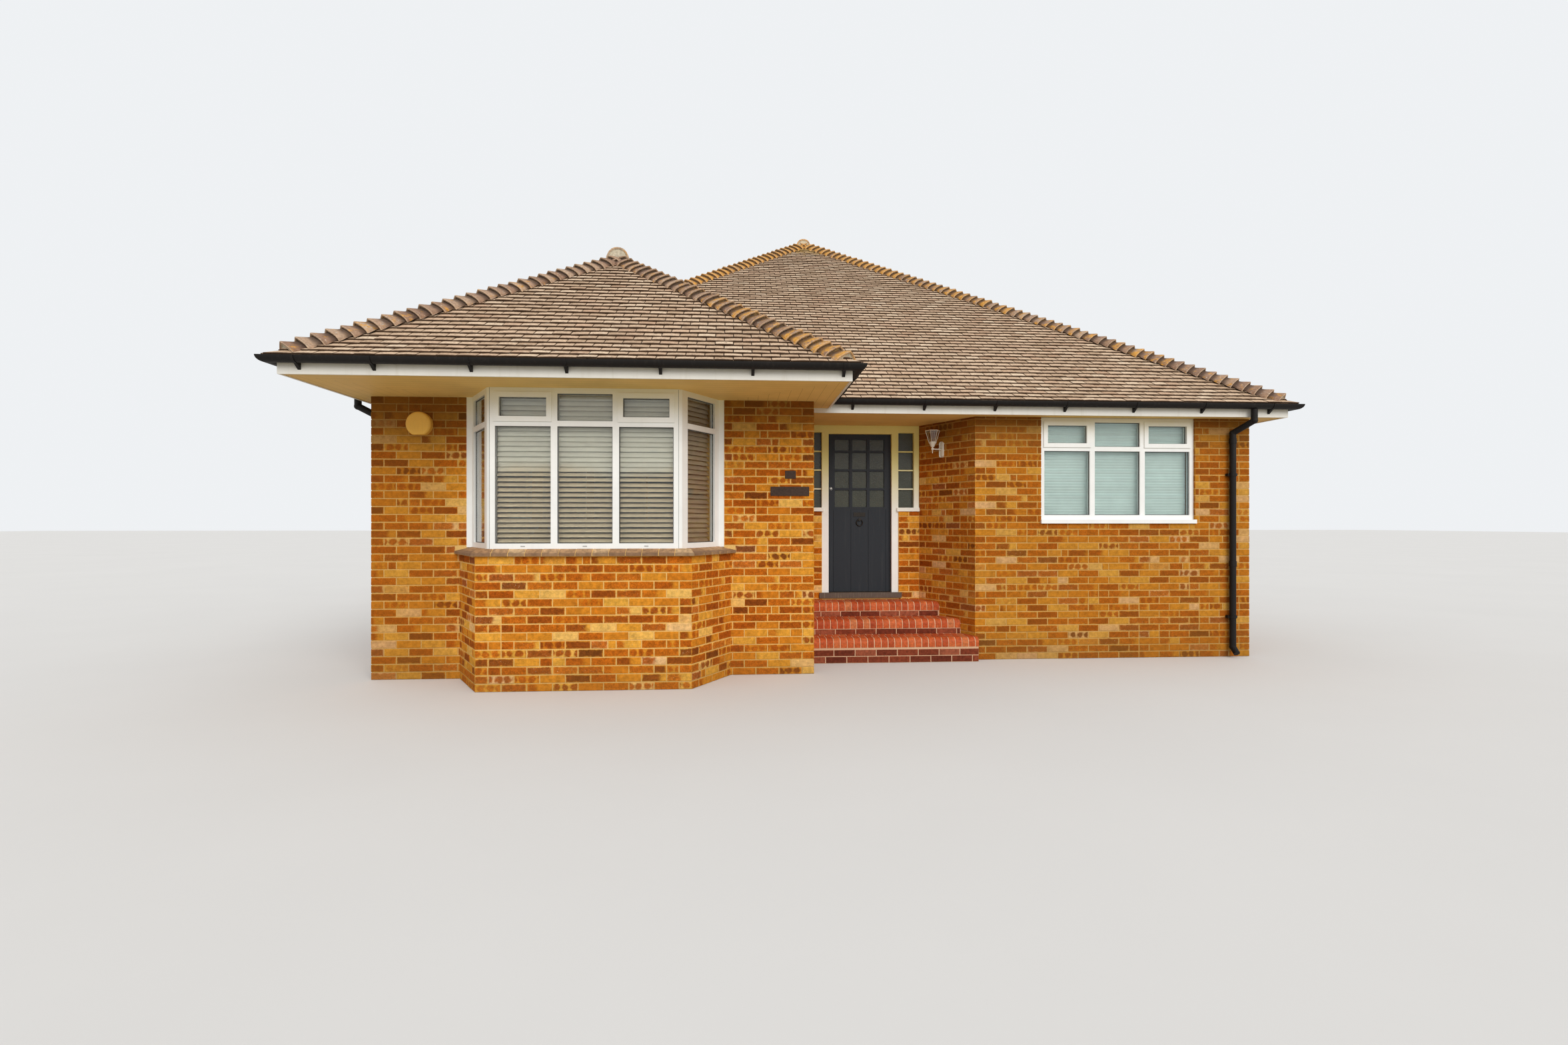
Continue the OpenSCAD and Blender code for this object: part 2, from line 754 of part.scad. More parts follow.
// Letter plate, ring knocker and cylinder lock, on the face of the leaf
letter_plate = [150, 6, 50];
letter_z = 948;
knocker_r = 38;
knocker_bar = 6;
knocker_z = 872;
boss_r = 18;
boss_h = 22;
lock_r = 16;
lock_h = 12;
lock_z = 1294;
module door_fittings() {
    color([0.3, 0.3, 0.3]) at_home() {
        block([door_mid - letter_plate[0] / 2, leaf_y - letter_plate[1], floor_z + letter_z],
              [door_mid + letter_plate[0] / 2, leaf_y, floor_z + letter_z + letter_plate[2]]);
        translate([door_mid, leaf_y - 2 * knocker_bar, floor_z + knocker_z]) rotate([90, 0, 0])
            rotate_extrude($fn = 48) translate([knocker_r, 0]) circle(r = knocker_bar, $fn = 16);
        translate([door_mid, leaf_y, floor_z + knocker_z + knocker_r]) rotate([90, 0, 0])
            cylinder(r = boss_r, h = boss_h, $fn = 32);
        translate([door_l + stile_w / 2, leaf_y, floor_z + lock_z]) rotate([90, 0, 0])
            cylinder(r = lock_r, h = lock_h, $fn = 32);
    }
}

// A roof slope: its plan outline, cut from a sloping board under the plane
module slope(outline, plane) {
    tiled() intersection() {
        linear_extrude(2 * main_ridge_z) polygon(outline);
        sloping(plane, slope_v);
    }
}

// What lies under a slope's plane, down to a depth measured upright
module sloping(plane, depth) {
    reach = 2 * house_d;
    foot = plane[1] - reach;
    head = plane[1] + reach;
    foot_z = plane[2] - reach * rise;
    head_z = plane[2] + reach * rise;
    rotate([0, 0, plane[0]]) translate([-reach, 0, 0]) rotate([90, 0, 90]) linear_extrude(2 * reach)
        polygon([[foot, foot_z - depth], [foot, foot_z], [head, head_z], [head, head_z - depth]]);
}

// Corners of the slopes, inside the fascias
in_l = eaves_l + fascia_t;
in_wing_f = eaves_wing_f + fascia_t;
in_wing_r = eaves_wing_r - fascia_t;
in_f = eaves_f + fascia_t;
in_r = eaves_r - fascia_t;
in_b = eaves_b - fascia_t;
rear_left_y = eaves_b - level_shift;
rear_left_foot = [in_l, rear_left_y - fascia_t];
valley_start = [in_wing_r, valley_foot[1] + fascia_t];

module wing_front_slope() {
    slope([[in_l, in_wing_f], [in_wing_r, in_wing_f], wing_apex], wing_front_plane);
}

module wing_right_slope() {
    slope([[in_wing_r, in_wing_f], valley_start, valley_top, wing_apex], wing_right_plane);
}

module left_slope() {
    slope([[in_l, in_wing_f], wing_apex, valley_top, main_apex, rear_apex, rear_left_foot], left_plane);
}

module front_slope() {
    slope([[in_wing_r, in_f], [in_r, in_f], main_apex, valley_top, valley_start], front_plane);
}

module right_slope() { slope([[in_r, in_f], [in_r, in_b], rear_apex, main_apex], right_plane); }

module rear_slope() { slope([[in_l, in_b], [in_r, in_b], rear_apex, rear_left_foot], rear_plane); }

// A row of bonnet tiles that climbs from a foot along the hip between two planes: each tile
// is widest at its lower edge, where it lies over the tile below. The row ends within keep.
hip_tilt = atan(rise / sqrt(2));
row_gap = 1;
far = 3 * house_d;
module hip_row(foot, foot_z, turn, plan_len, planes, keep) {
    len = plan_len / cos(hip_tilt);
    count = round(len / hip_gauge);
    gauge = len / count;
    teeth = [for (i = [0 : count - 1], p = [[hip_r, i * gauge], [hip_r - hip_lip, (i + 1) * gauge]]) p];
    end = [[hip_r, len], [hip_r, len + hip_r], [0, len + hip_r]];
    cut_row(planes, keep) translate([foot[0], foot[1], foot_z - hip_sink]) rotate([0, 90 - hip_tilt, turn])
        rotate_extrude($fn = 32) polygon(concat([[0, 0]], teeth, end));
}

// A row of half-round ridge tiles with mortar joints sunk between them
joint_w = 12;
joint_d = 4;
module ridge_row(from, to, z, planes, keep) {
    way = to - from;
    count = max(1, round(norm(way) / ridge_gauge));
    gauge = norm(way) / count;
    outline = [for (i = [0 : count - 1], p = [
        [hip_r - joint_d, i * gauge], [hip_r - joint_d, i * gauge + joint_w], [hip_r, i * gauge + joint_w],
        [hip_r, (i + 1) * gauge]
    ]) p];
    cut_row(planes, keep) translate([from[0], from[1], z - hip_sink]) rotate([0, 90, 90])
        rotate_extrude($fn = 32) polygon(concat([[0, 0]], outline, [[0, norm(way)]]));
}

// Cuts a row off where it enters the roof and where it meets the other rows
module cut_row(planes, keep) {
    difference() {
        intersection() {
            children();
            block(keep[0], keep[1]);
        }
        intersection() {
            sloping(planes[0], far);
            sloping(planes[1], far);
        }
    }
}

// The rows of the wing meet at its apex, and its ridge dies into the main roof
module wing_hip_tiles() {
    x = wing_apex[0];
    y = wing_apex[1];
    tiled() {
        hip_row([eaves_l, eaves_wing_f], wing_eaves_z, 45, wing_half * sqrt(2),
                [left_plane, wing_front_plane], [[-far, -far, 0], [x - row_gap, y, far]]);
        hip_row([eaves_wing_r, eaves_wing_f], wing_eaves_z, 135, wing_half * sqrt(2),
                [wing_front_plane, wing_right_plane], [[x + row_gap, -far, 0], [far, y, far]]);
        difference() {
            ridge_row(wing_apex, valley_top, wing_ridge_z, [left_plane, wing_right_plane],
                      [[-far, y + row_gap, 0], [far, far, far]]);
            sloping(front_plane, slope_v);
        }
    }
}

module main_hip_tiles() {
    x = main_apex[0];
    y = main_apex[1];
    start = valley_top - hip_r * [1, 1];
    tiled() {
        hip_row(start, wing_ridge_z - hip_r * rise, 45, norm(main_apex - start),
                [left_plane, front_plane], [[-far, valley_top[1], 0], [x - row_gap, y, far]]);
        hip_row([eaves_r, eaves_f], main_eaves_z, 135, main_half * sqrt(2),
                [front_plane, right_plane], [[x + row_gap, -far, 0], [far, y, far]]);
    }
}

module rear_hip_tiles() {
    x = rear_apex[0];
    y = rear_apex[1];
    tiled() {
        ridge_row(main_apex, rear_apex, main_ridge_z, [left_plane, right_plane],
                  [[-far, main_apex[1] + row_gap, 0], [far, y - row_gap, far]]);
        hip_row([eaves_r, eaves_b], main_eaves_z, 225, main_half * sqrt(2),
                [right_plane, rear_plane], [[x + row_gap, y, 0], [far, far, far]]);
        hip_row([eaves_l, rear_left_y], wing_eaves_z, -45, (main_half - level_shift) * sqrt(2),
                [left_plane, rear_plane], [[-far, y, 0], [x - row_gap, far, far]]);
    }
}

// Soffits: the boards between the walls and the fascias
module wing_soffit() {
    white() translate([0, 0, soffit_z]) linear_extrude(soffit_t) polygon([
        [in_l, in_wing_f], [in_wing_r, in_wing_f], [in_wing_r, in_f], [wing_w, in_f], [wing_w, 0],
        [0, 0], [0, house_d], [in_l, house_d]
    ]);
}

module main_soffit() {
    white() translate([0, 0, main_soffit_z]) linear_extrude(soffit_t) polygon([
        [wing_w, in_f], [in_r, in_f], [in_r, in_b], [in_l, in_b], [in_l, house_d], [house_w, house_d],
        [house_w, front_setback], splay_front, splay_back, [wing_w, porch_setback]
    ]);
}

module wing_fascia() {
    z0 = soffit_z - fascia_lip;
    white() {
        block([eaves_l, eaves_wing_f, z0], [eaves_wing_r, in_wing_f, wing_eaves_z]);
        block([eaves_l, in_wing_f, z0], [in_l, rear_left_y, wing_eaves_z]);
        block([eaves_l, in_wing_f, z0], [in_l, eaves_b, main_eaves_z]);
        block([in_wing_r, in_wing_f, z0], [eaves_wing_r, in_f, wing_eaves_z]);
    }
}

// The main fascia also closes the two places where the soffits change level
module main_fascia() {
    z0 = main_soffit_z - fascia_lip;
    wing_z0 = soffit_z - fascia_lip;
    white() {
        block([wing_w, eaves_f, z0], [in_wing_r, in_f, soffit_z]);
        block([in_wing_r, eaves_f, z0], [eaves_wing_r, in_f, wing_z0]);
        block([eaves_wing_r, eaves_f, z0], [eaves_r, in_f, main_eaves_z]);
        block([in_r, in_f, z0], [eaves_r, eaves_b, main_eaves_z]);
        block([in_l, in_b, z0], [in_r, eaves_b, main_eaves_z]);
        block([eaves_l, house_d, z0], [in_l, eaves_b, wing_z0]);
        block([in_l, house_d, main_soffit_z + soffit_t], [0, house_d + fascia_t, soffit_z + soffit_t]);
    }
}

// Half-round gutter along +X from the origin, its back against y = 0, cut to a plan outline
gutter_w = 2 * gutter_r;
module gutter_run(len) {
    rotate([90, 0, 90]) linear_extrude(len) difference() {
        translate([-gutter_r, 0]) circle(r = gutter_r, $fn = 64);
        translate([-gutter_r, 0]) circle(r = gutter_r - gutter_t, $fn = 64);
        translate([-gutter_w - eps, 0]) square([gutter_w + 2 * eps, gutter_r + eps]);
    }
}

module cut_to(outline) {
    intersection() {
        translate([0, 0, -gutter_w]) linear_extrude(2 * gutter_w) polygon(outline);
        children();
    }
}

// Closes the end of a gutter
module gutter_end() {
    rotate([90, 0, 90]) linear_extrude(gutter_t) difference() {
        translate([-gutter_r, 0]) circle(r = gutter_r, $fn = 64);
        translate([-gutter_w - eps, 0]) square([gutter_w + 2 * eps, gutter_r + eps]);
    }
}

// A strap round the gutter with a wedge below it against the fascia
bracket_w = 26;
strap_t = 5;
wedge_h = 75;
module bracket() {
    reach = gutter_r + strap_t;
    translate([-bracket_w / 2, 0, 0]) rotate([90, 0, 90]) linear_extrude(bracket_w) difference() {
        union() {
            intersection() {
                translate([-gutter_r, 0]) circle(r = reach, $fn = 64);
                translate([-gutter_w - strap_t, -reach]) square([gutter_w + strap_t, reach]);
            }
            polygon([[0, 0], [0, -wedge_h - gutter_r / 2], [-gutter_r, -reach], [-gutter_r, -gutter_r / 2]]);
        }
        translate([-gutter_r, 0]) circle(r = gutter_r, $fn = 64);
    }
}

// Evenly spaced places along a stretch, no further apart than the brackets may be
function bracket_places(len) =
    let (n = ceil(len / bracket_gauge)) [for (i = [0 : n - 1]) (i + 0.5) * len / n];

// Places along the front, from a first one, and none within the last gauge's tenth
function front_places(first, len) =
    [for (x = [first : front_bracket_gauge : len - front_bracket_gauge / 10]) x];

// Distances of the front gutters' first brackets from their left ends
wing_brackets_at = [180, 785];
main_brackets_at = 249;

// The runs along the front and the rear lap a little over the mitres
mitre_lap = 1;
module wing_gutter() {
    front_len = eaves_wing_r - eaves_l;
    left_len = eaves_b - eaves_wing_f;
    right_end = eaves_f - gutter_w - gutter_t;
    right_len = right_end - eaves_wing_f;
    black() translate([0, 0, soffit_z + gutter_rise]) {
        cut_to([[eaves_l - gutter_w - mitre_lap, eaves_wing_f - gutter_w],
                [eaves_wing_r + gutter_w + mitre_lap, eaves_wing_f - gutter_w],
                [eaves_wing_r + mitre_lap, eaves_wing_f], [eaves_l - mitre_lap, eaves_wing_f]])
            translate([eaves_l - gutter_w, eaves_wing_f, 0]) gutter_run(front_len + 2 * gutter_w);
        cut_to([[eaves_l - gutter_w, eaves_wing_f - gutter_w], [eaves_l, eaves_wing_f],
                [eaves_l, eaves_b], [eaves_l - gutter_w, eaves_b]])
            translate([eaves_l, eaves_b, 0]) rotate([0, 0, -90]) gutter_run(left_len + gutter_w);
        cut_to([[eaves_wing_r + gutter_w, eaves_wing_f - gutter_w], [eaves_wing_r + gutter_w, right_end],
                [eaves_wing_r, right_end], [eaves_wing_r, eaves_wing_f]])
            translate([eaves_wing_r, eaves_wing_f - gutter_w, 0]) rotate([0, 0, 90])
                gutter_run(right_len + gutter_w);
        translate([eaves_l, eaves_b, 0]) rotate([0, 0, -90]) translate([-gutter_t, 0, 0]) gutter_end();
        translate([eaves_wing_r, right_end, 0]) rotate([0, 0, 90]) gutter_end();
        for (x = concat([wing_brackets_at[0]], front_places(wing_brackets_at[1], front_len)))
            translate([eaves_l + x, eaves_wing_f, 0]) bracket();
        for (y = bracket_places(left_len))
            translate([eaves_l, eaves_wing_f + y, 0]) rotate([0, 0, -90]) bracket();
        for (y = bracket_places(right_len))
            translate([eaves_wing_r, eaves_wing_f + y, 0]) rotate([0, 0, 90]) bracket();
    }
}

module main_gutter() {
    front_l = eaves_wing_r + gutter_t;
    front_len = eaves_r - eaves_wing_r;
    side_len = eaves_b - eaves_f;
    rear_len = eaves_r - eaves_l;
    black() translate([0, 0, main_soffit_z + gutter_rise]) {
        cut_to([[front_l, eaves_f - gutter_w], [eaves_r + gutter_w + mitre_lap, eaves_f - gutter_w],
                [eaves_r + mitre_lap, eaves_f], [front_l, eaves_f]])
            translate([eaves_wing_r, eaves_f, 0]) gutter_run(front_len + gutter_w);
        cut_to([[eaves_r + gutter_w, eaves_f - gutter_w], [eaves_r + gutter_w, eaves_b + gutter_w],
                [eaves_r, eaves_b], [eaves_r, eaves_f]])
            translate([eaves_r, eaves_f - gutter_w, 0]) rotate([0, 0, 90])
                gutter_run(side_len + 2 * gutter_w);
        cut_to([[eaves_r + gutter_w + mitre_lap, eaves_b + gutter_w], [eaves_l, eaves_b + gutter_w],
                [eaves_l, eaves_b], [eaves_r + mitre_lap, eaves_b]])
            translate([eaves_r + gutter_w, eaves_b, 0]) rotate([0, 0, 180]) gutter_run(rear_len + gutter_w);
        translate([eaves_wing_r, eaves_f, 0]) gutter_end();
        translate([eaves_l, eaves_b, 0]) rotate([0, 0, 180]) gutter_end();
        for (x = front_places(main_brackets_at, front_len))
            translate([eaves_wing_r + x, eaves_f, 0]) bracket();
        for (y = bracket_places(side_len))
            translate([eaves_r, eaves_f + y, 0]) rotate([0, 0, 90]) bracket();
        for (x = bracket_places(rear_len))
            translate([eaves_l + x, eaves_b, 0]) rotate([0, 0, 180]) bracket();
    }
}

// A downpipe: from the gutter's underside by a swan neck to the wall, and down it on clips.
// The wall's face lies away from the pipe in the direction of the unit vector wall_way.
outlet_h = 128;
neck_h = 118;
socket_h = 60;
socket_t = 5;
elbow_t = 3;
clip_h = 30;
clip_w = 110;
shoe_z = 120;
module downpipe(outlet, foot, top, wall_way, sockets, clips) {
    neck_top = [outlet[0], outlet[1], top - outlet_h];
    neck_foot = [foot[0], foot[1], top - outlet_h - neck_h];
    shoe = [foot[0], foot[1], shoe_z];
    rod([outlet[0], outlet[1], top], neck_top, pipe_d);
    translate(neck_top) sphere(d = pipe_d + 2 * elbow_t, $fn = 32);
    rod(neck_top, neck_foot, pipe_d);
    translate(neck_foot) sphere(d = pipe_d + 2 * elbow_t, $fn = 32);
    rod(neck_foot, shoe, pipe_d);
    translate(shoe) sphere(d = pipe_d + 2 * elbow_t, $fn = 32);
    rod(shoe, shoe - pipe_d * [wall_way[0], wall_way[1], 1], pipe_d);
    for (z = concat([neck_foot[2] - 2 * socket_h], sockets))
        translate([foot[0], foot[1], z]) cylinder(d = pipe_d + 2 * socket_t, h = socket_h, $fn = 32);
    for (z = clips) translate([foot[0], foot[1], z]) {
        cylinder(d = pipe_d + 2 * socket_t, h = clip_h, $fn = 32);
        rotate([0, 0, atan2(wall_way[1], wall_way[0])]) translate([0, -clip_w / 2, 0])
            cube([pipe_off + pipe_d / 2, clip_w, clip_h]);
    }
}

// Heights of the sockets and clips on both downpipes
pipe_sockets = [1048];
pipe_clips = [450, 2090];
// Distances of the right downpipe and of its outlet from the house's right corner, and of the
// left downpipe from the front corner
right_pipe_at = 233;
right_outlet_at = 125;
left_pipe_at = 300;

module right_downpipe() {
    outlet = [house_w - right_outlet_at, eaves_f - gutter_r];
    foot = [house_w - right_pipe_at, front_setback - pipe_off - pipe_d / 2];
    black() downpipe(outlet, foot, main_soffit_z + gutter_rise - gutter_r, [0, 1], pipe_sockets, pipe_clips);
}

module left_downpipe() {
    outlet = [eaves_l - gutter_r, left_pipe_at];
    foot = [-pipe_off - pipe_d / 2, left_pipe_at];
    black() downpipe(outlet, foot, soffit_z + gutter_rise - gutter_r, [1, 0], pipe_sockets, pipe_clips);
}

// Lantern on the splayed wall: a back plate with round ends, an arm, and over a ball with a
// pin a cup that carries the six-sided glass, which widens upwards
lantern_z = 2425;
lantern_at = 410;
lantern_out = 158;
arm_d = 14;
plate_r = 32;
plate_h = 140;
plate_d = 22;
ball_r = 17;
pin_d = 10;
pin_z = 50;
cup_z = 23;
cup_h = 55;
cup_r = 20;
cage_r = [47, 88];
cage_h = 142;
module wall_lantern() {
    color([0.9, 0.88, 0.78]) at_home() translate([splay_back[0], splay_back[1], lantern_z])
        rotate([0, 0, splay_turn - 90]) translate([lantern_at, 0, 0]) {
            translate([-plate_r, -plate_d, -plate_h / 2]) cube([2 * plate_r, plate_d, plate_h]);
            for (z = [-plate_h / 2, plate_h / 2])
                rod([0, 0, z], [0, -plate_d, z], 2 * plate_r);
            rod([0, -eps, 0], [0, -lantern_out, 0], arm_d);
            translate([0, -lantern_out, 0]) {
                sphere(r = ball_r, $fn = 32);
                rod([0, 0, -pin_z], [0, 0, cup_z + eps], pin_d);
                translate([0, 0, cup_z]) cylinder(r1 = cup_r, r2 = cage_r[0], h = cup_h, $fn = 32);
                translate([0, 0, cup_z + cup_h - eps])
                    cylinder(r1 = cage_r[0], r2 = cage_r[1], h = cage_h, $fn = 6);
            }
        }
}

// Round alarm box with a softened rim and a flat foot
alarm_at = [470, 2526];
alarm_r = 122;
alarm_h = 70;
alarm_rim = 24;
alarm_foot = 106;
module alarm_box() {
    rim = [for (a = [0 : 15 : 90])
        [alarm_r - alarm_rim + alarm_rim * cos(a), alarm_h - alarm_rim + alarm_rim * sin(a)]];
    color([0.93, 0.6, 0.1]) at_home() translate([alarm_at[0], 0, alarm_at[1]]) difference() {
        rotate([90, 0, 0])
            rotate_extrude($fn = 64) polygon(concat([[0, 0], [alarm_r, 0]], rim, [[0, alarm_h]]));
        block([-2 * alarm_r, -2 * alarm_h, -2 * alarm_r], [2 * alarm_r, alarm_h, -alarm_foot]);
    }
}

// House number plaque above a longer plate: their left and right edges lie at distances from
// the wing's right-hand corner, and each also has a lower and an upper edge
plate_t = 12;
number_plate = [294, 184, 2004, 2086];
name_plate = [444, 47, 1827, 1921];
module wall_plates() {
    color([0.2, 0.2, 0.2]) at_home() for (p = [number_plate, name_plate])
        block([wing_w - p[0], -plate_t, p[2]], [wing_w - p[1], 0, p[3]]);
}

wing_front_wall();
wing_right_wall();
left_wall();
rear_wall();
right_wall();
front_wall();
porch_splay_wall();
porch_panels();
porch_head_wall();
floor();
ceiling();
bay_base();
bay_sill();
bay_frame();
bay_glass();
front_window_frame();
front_window_glass();
window_blinds();
side_window_frames();
side_window_glass();
door_frame();
sidelight_glass();
threshold();
step_top();
step_middle();
step_bottom();
front_door();
door_glass();
door_fittings();
wing_front_slope();
wing_right_slope();
left_slope();
front_slope();
right_slope();
rear_slope();
wing_hip_tiles();
main_hip_tiles();
rear_hip_tiles();
wing_soffit();
main_soffit();
wing_fascia();
main_fascia();
wing_gutter();
main_gutter();
left_downpipe();
right_downpipe();
wall_lantern();
alarm_box();
wall_plates();
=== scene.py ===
# %% [markdown]
# # A brick bungalow with a hipped roof
# The solids of this house come from its CAD pack and stay as they are. This lesson lays single
# bricks on its walls and single tiles on its roof, gives every surface a procedural finish, and
# sets up the camera and a soft studio light.
# %% Load the frame
import math
import bpy
import numpy as np
from mathutils import Matrix


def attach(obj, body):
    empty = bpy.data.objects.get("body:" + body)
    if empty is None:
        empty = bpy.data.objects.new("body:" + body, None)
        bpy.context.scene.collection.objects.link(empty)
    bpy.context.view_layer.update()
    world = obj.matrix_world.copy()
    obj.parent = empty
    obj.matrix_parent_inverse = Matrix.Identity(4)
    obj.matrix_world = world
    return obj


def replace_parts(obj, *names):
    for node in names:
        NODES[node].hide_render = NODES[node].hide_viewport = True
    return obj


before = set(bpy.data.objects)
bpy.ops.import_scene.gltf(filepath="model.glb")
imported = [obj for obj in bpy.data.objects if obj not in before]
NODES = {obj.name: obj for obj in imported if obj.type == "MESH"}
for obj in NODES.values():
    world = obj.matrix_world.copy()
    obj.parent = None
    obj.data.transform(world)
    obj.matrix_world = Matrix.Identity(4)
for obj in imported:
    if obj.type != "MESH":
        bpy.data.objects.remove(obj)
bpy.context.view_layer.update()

# %% [markdown]
# The walls and the roof are set out from the left front corner of the wing, in metres. The pack
# has its origin under the middle of the house, so one shift leads from the house's metres to the
# pack's. A fixed seed makes every run lay the same bricks.
# %% Setting out
HOME = np.array([-4.8225, -5.41, 0.0])
dice = np.random.default_rng(62)


def at_home(points):
    """House metres to the pack's metres."""
    return np.asarray(points, float) + HOME


print("The wing's corner lies at", HOME)

# %% [markdown]
# Thousands of bricks and tiles are too many for single objects. Each field of them is one mesh
# that is filled from arrays: corners, four-cornered faces, and values that the materials read
# at every corner. `cell` holds a place within the brick or tile, `tone` four random numbers.
# %% Meshes from arrays
def field(name, corners, faces, slot, **values):
    """One mesh piece from arrays; values are stored per corner for the materials."""
    mesh = bpy.data.meshes.new(name)
    mesh.vertices.add(len(corners))
    mesh.vertices.foreach_set("co", at_home(corners).astype(np.float32).ravel())
    mesh.loops.add(faces.size)
    mesh.loops.foreach_set("vertex_index", faces.astype(np.int32).ravel())
    mesh.polygons.add(len(faces))
    mesh.polygons.foreach_set("loop_start", np.arange(0, faces.size, 4, dtype=np.int32))
    mesh.update(calc_edges=True)
    mesh.validate()
    for key, value in values.items():
        kind, part = {3: ("FLOAT_VECTOR", "vector"), 4: ("FLOAT_COLOR", "color")}[value.shape[1]]
        layer = mesh.attributes.new(key, kind, "POINT")
        layer.data.foreach_set(part, value.astype(np.float32).ravel())
    mesh.polygons.foreach_set("use_smooth", np.zeros(len(faces), bool))
    piece = bpy.data.objects.new(name, mesh)
    bpy.context.collection.objects.link(piece)
    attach(piece, "house")
    print(name, len(faces), "faces")
    return piece


def joined(name, parts, slot):
    """One piece from several sets of corners, faces, cells and tones."""
    base, moved = 0, []
    for corners, faces, cell, tone in parts:
        moved.append((corners, faces + base, cell, tone))
        base += len(corners)
    corners, faces, cell, tone = [np.concatenate(part) for part in zip(*moved)]
    return field(name, corners, faces, slot, cell=cell, tone=tone)


def strip_faces(rows, across):
    """Faces between neighbouring rows of corners within one tile or block."""
    return [[r * across + i, r * across + i + 1, (r + 1) * across + i + 1, (r + 1) * across + i]
            for r in range(rows - 1) for i in range(across - 1)]


def repeated(faces, count, size):
    """The same faces for each of many blocks that have the same number of corners."""
    return (np.arange(count)[:, None, None] * size + np.array(faces)[None]).reshape(-1, 4)


# %% [markdown]
# Materials are built from a handful of node helpers. Each returns an output socket, so an
# effect reads like a sum: a noise goes through a ramp, and the ramp feeds a mix.
# %% Node helpers
def add(tree, kind, settings=None, links=None):
    """Adds a node, sets its choices, and fills its inputs with values or other outputs."""
    node = tree.nodes.new("ShaderNode" + kind)
    for key, value in (settings or {}).items():
        setattr(node, key, value)
    for key, value in (links or {}).items():
        if isinstance(value, bpy.types.NodeSocket):
            tree.links.new(value, node.inputs[key])
        else:
            node.inputs[key].default_value = value
    return node


def rgba(colour):
    return (*colour, 1.0) if len(colour) == 3 else tuple(colour)


def math_node(tree, operation, a, b=0.0, clamp=False):
    return add(tree, "Math", {"operation": operation, "use_clamp": clamp}, {0: a, 1: b}).outputs[0]


def plus(tree, a, b):
    return math_node(tree, "ADD", a, b)


def minus(tree, a, b):
    return math_node(tree, "SUBTRACT", a, b)


def times(tree, a, b):
    return math_node(tree, "MULTIPLY", a, b)


def centred(tree, value, reach):
    """A noise made to swing to both sides of nought."""
    return times(tree, minus(tree, value, 0.5), reach)


def mix(tree, share, a, b, blend="MIX"):
    a, b = [v if isinstance(v, bpy.types.NodeSocket) else rgba(v) for v in (a, b)]
    return add(tree, "Mix", {"data_type": "RGBA", "blend_type": blend}, {0: share, 6: a, 7: b}).outputs[2]


def span(tree, value, low, high, to_low=0.0, to_high=1.0):
    """A soft step from one value to another between two limits."""
    links = {"Value": value, "From Min": low, "From Max": high, "To Min": to_low, "To Max": to_high}
    return add(tree, "MapRange", {"interpolation_type": "SMOOTHSTEP"}, links).outputs[0]


def ramp(tree, value, stops):
    node = add(tree, "ValToRGB", links={"Fac": value})
    while len(node.color_ramp.elements) < len(stops):
        node.color_ramp.elements.new(0.5)
    for element, (position, colour) in zip(node.color_ramp.elements, stops):
        element.position = position
        element.color = rgba(colour)
    return node.outputs["Color"]


print("Helpers: add, math_node, mix, span and ramp")

# %% [markdown]
# Patterns are placed by object coordinates, which are the pack's metres on every piece. The
# values stored on bricks and tiles are read back by name.
# %% Places and stored values
def place(tree, scale=(1, 1, 1)):
    """Object coordinates, stretched."""
    source = add(tree, "TexCoord").outputs["Object"]
    return add(tree, "Mapping", links={"Vector": source, "Scale": scale}).outputs[0]


def noise(tree, scale, detail=4.0, rough=0.55, where=None):
    links = {"Vector": where or place(tree), "Scale": scale, "Detail": detail, "Roughness": rough}
    return add(tree, "TexNoise", links=links).outputs["Fac"]


def parts_of(tree, vector):
    return add(tree, "SeparateXYZ", links={0: vector}).outputs


def height_in(tree, scale, reach, detail=4.0, rough=0.55):
    """Height over the ground, made to wander by a noise."""
    return plus(tree, parts_of(tree, place(tree))[2], centred(tree, noise(tree, scale, detail, rough), reach))


def stored(tree, key, output):
    return add(tree, "Attribute", {"attribute_name": key}).outputs[output]


def cells_of(tree):
    """The stored place within a brick or tile, as three numbers."""
    return parts_of(tree, stored(tree, "cell", "Vector"))


def tones_of(tree):
    """Three of the random numbers that each brick or tile has."""
    node = add(tree, "SeparateColor", links={"Color": stored(tree, "tone", "Color")})
    return [node.outputs[i] for i in range(3)]


print("Stored values: cell and tone")

# %% [markdown]
# Some effects come back on many surfaces, so each is a node group with named inputs: Mottle
# varies a colour, Grain gives a height for the bump, and Weather lays dirt near the ground and
# in spots. A group puts out only colours and heights; the shader stays outside.
# %% Shared effects
def group(name, inputs, output, kind):
    """A node group with one output; gives back its tree, its inputs and its output socket."""
    tree = bpy.data.node_groups.new(name, "ShaderNodeTree")
    for key, socket_kind, value in inputs:
        socket = tree.interface.new_socket(key, in_out="INPUT", socket_type=socket_kind)
        socket.default_value = value
    tree.interface.new_socket(output, in_out="OUTPUT", socket_type=kind)
    print("Effect", name)
    return tree, tree.nodes.new("NodeGroupInput").outputs, tree.nodes.new("NodeGroupOutput").inputs[output]


FLOAT, COLOUR = "NodeSocketFloat", "NodeSocketColor"
WHITE, DIRT = (1.0, 1.0, 1.0, 1.0), (0.1, 0.08, 0.05, 1.0)

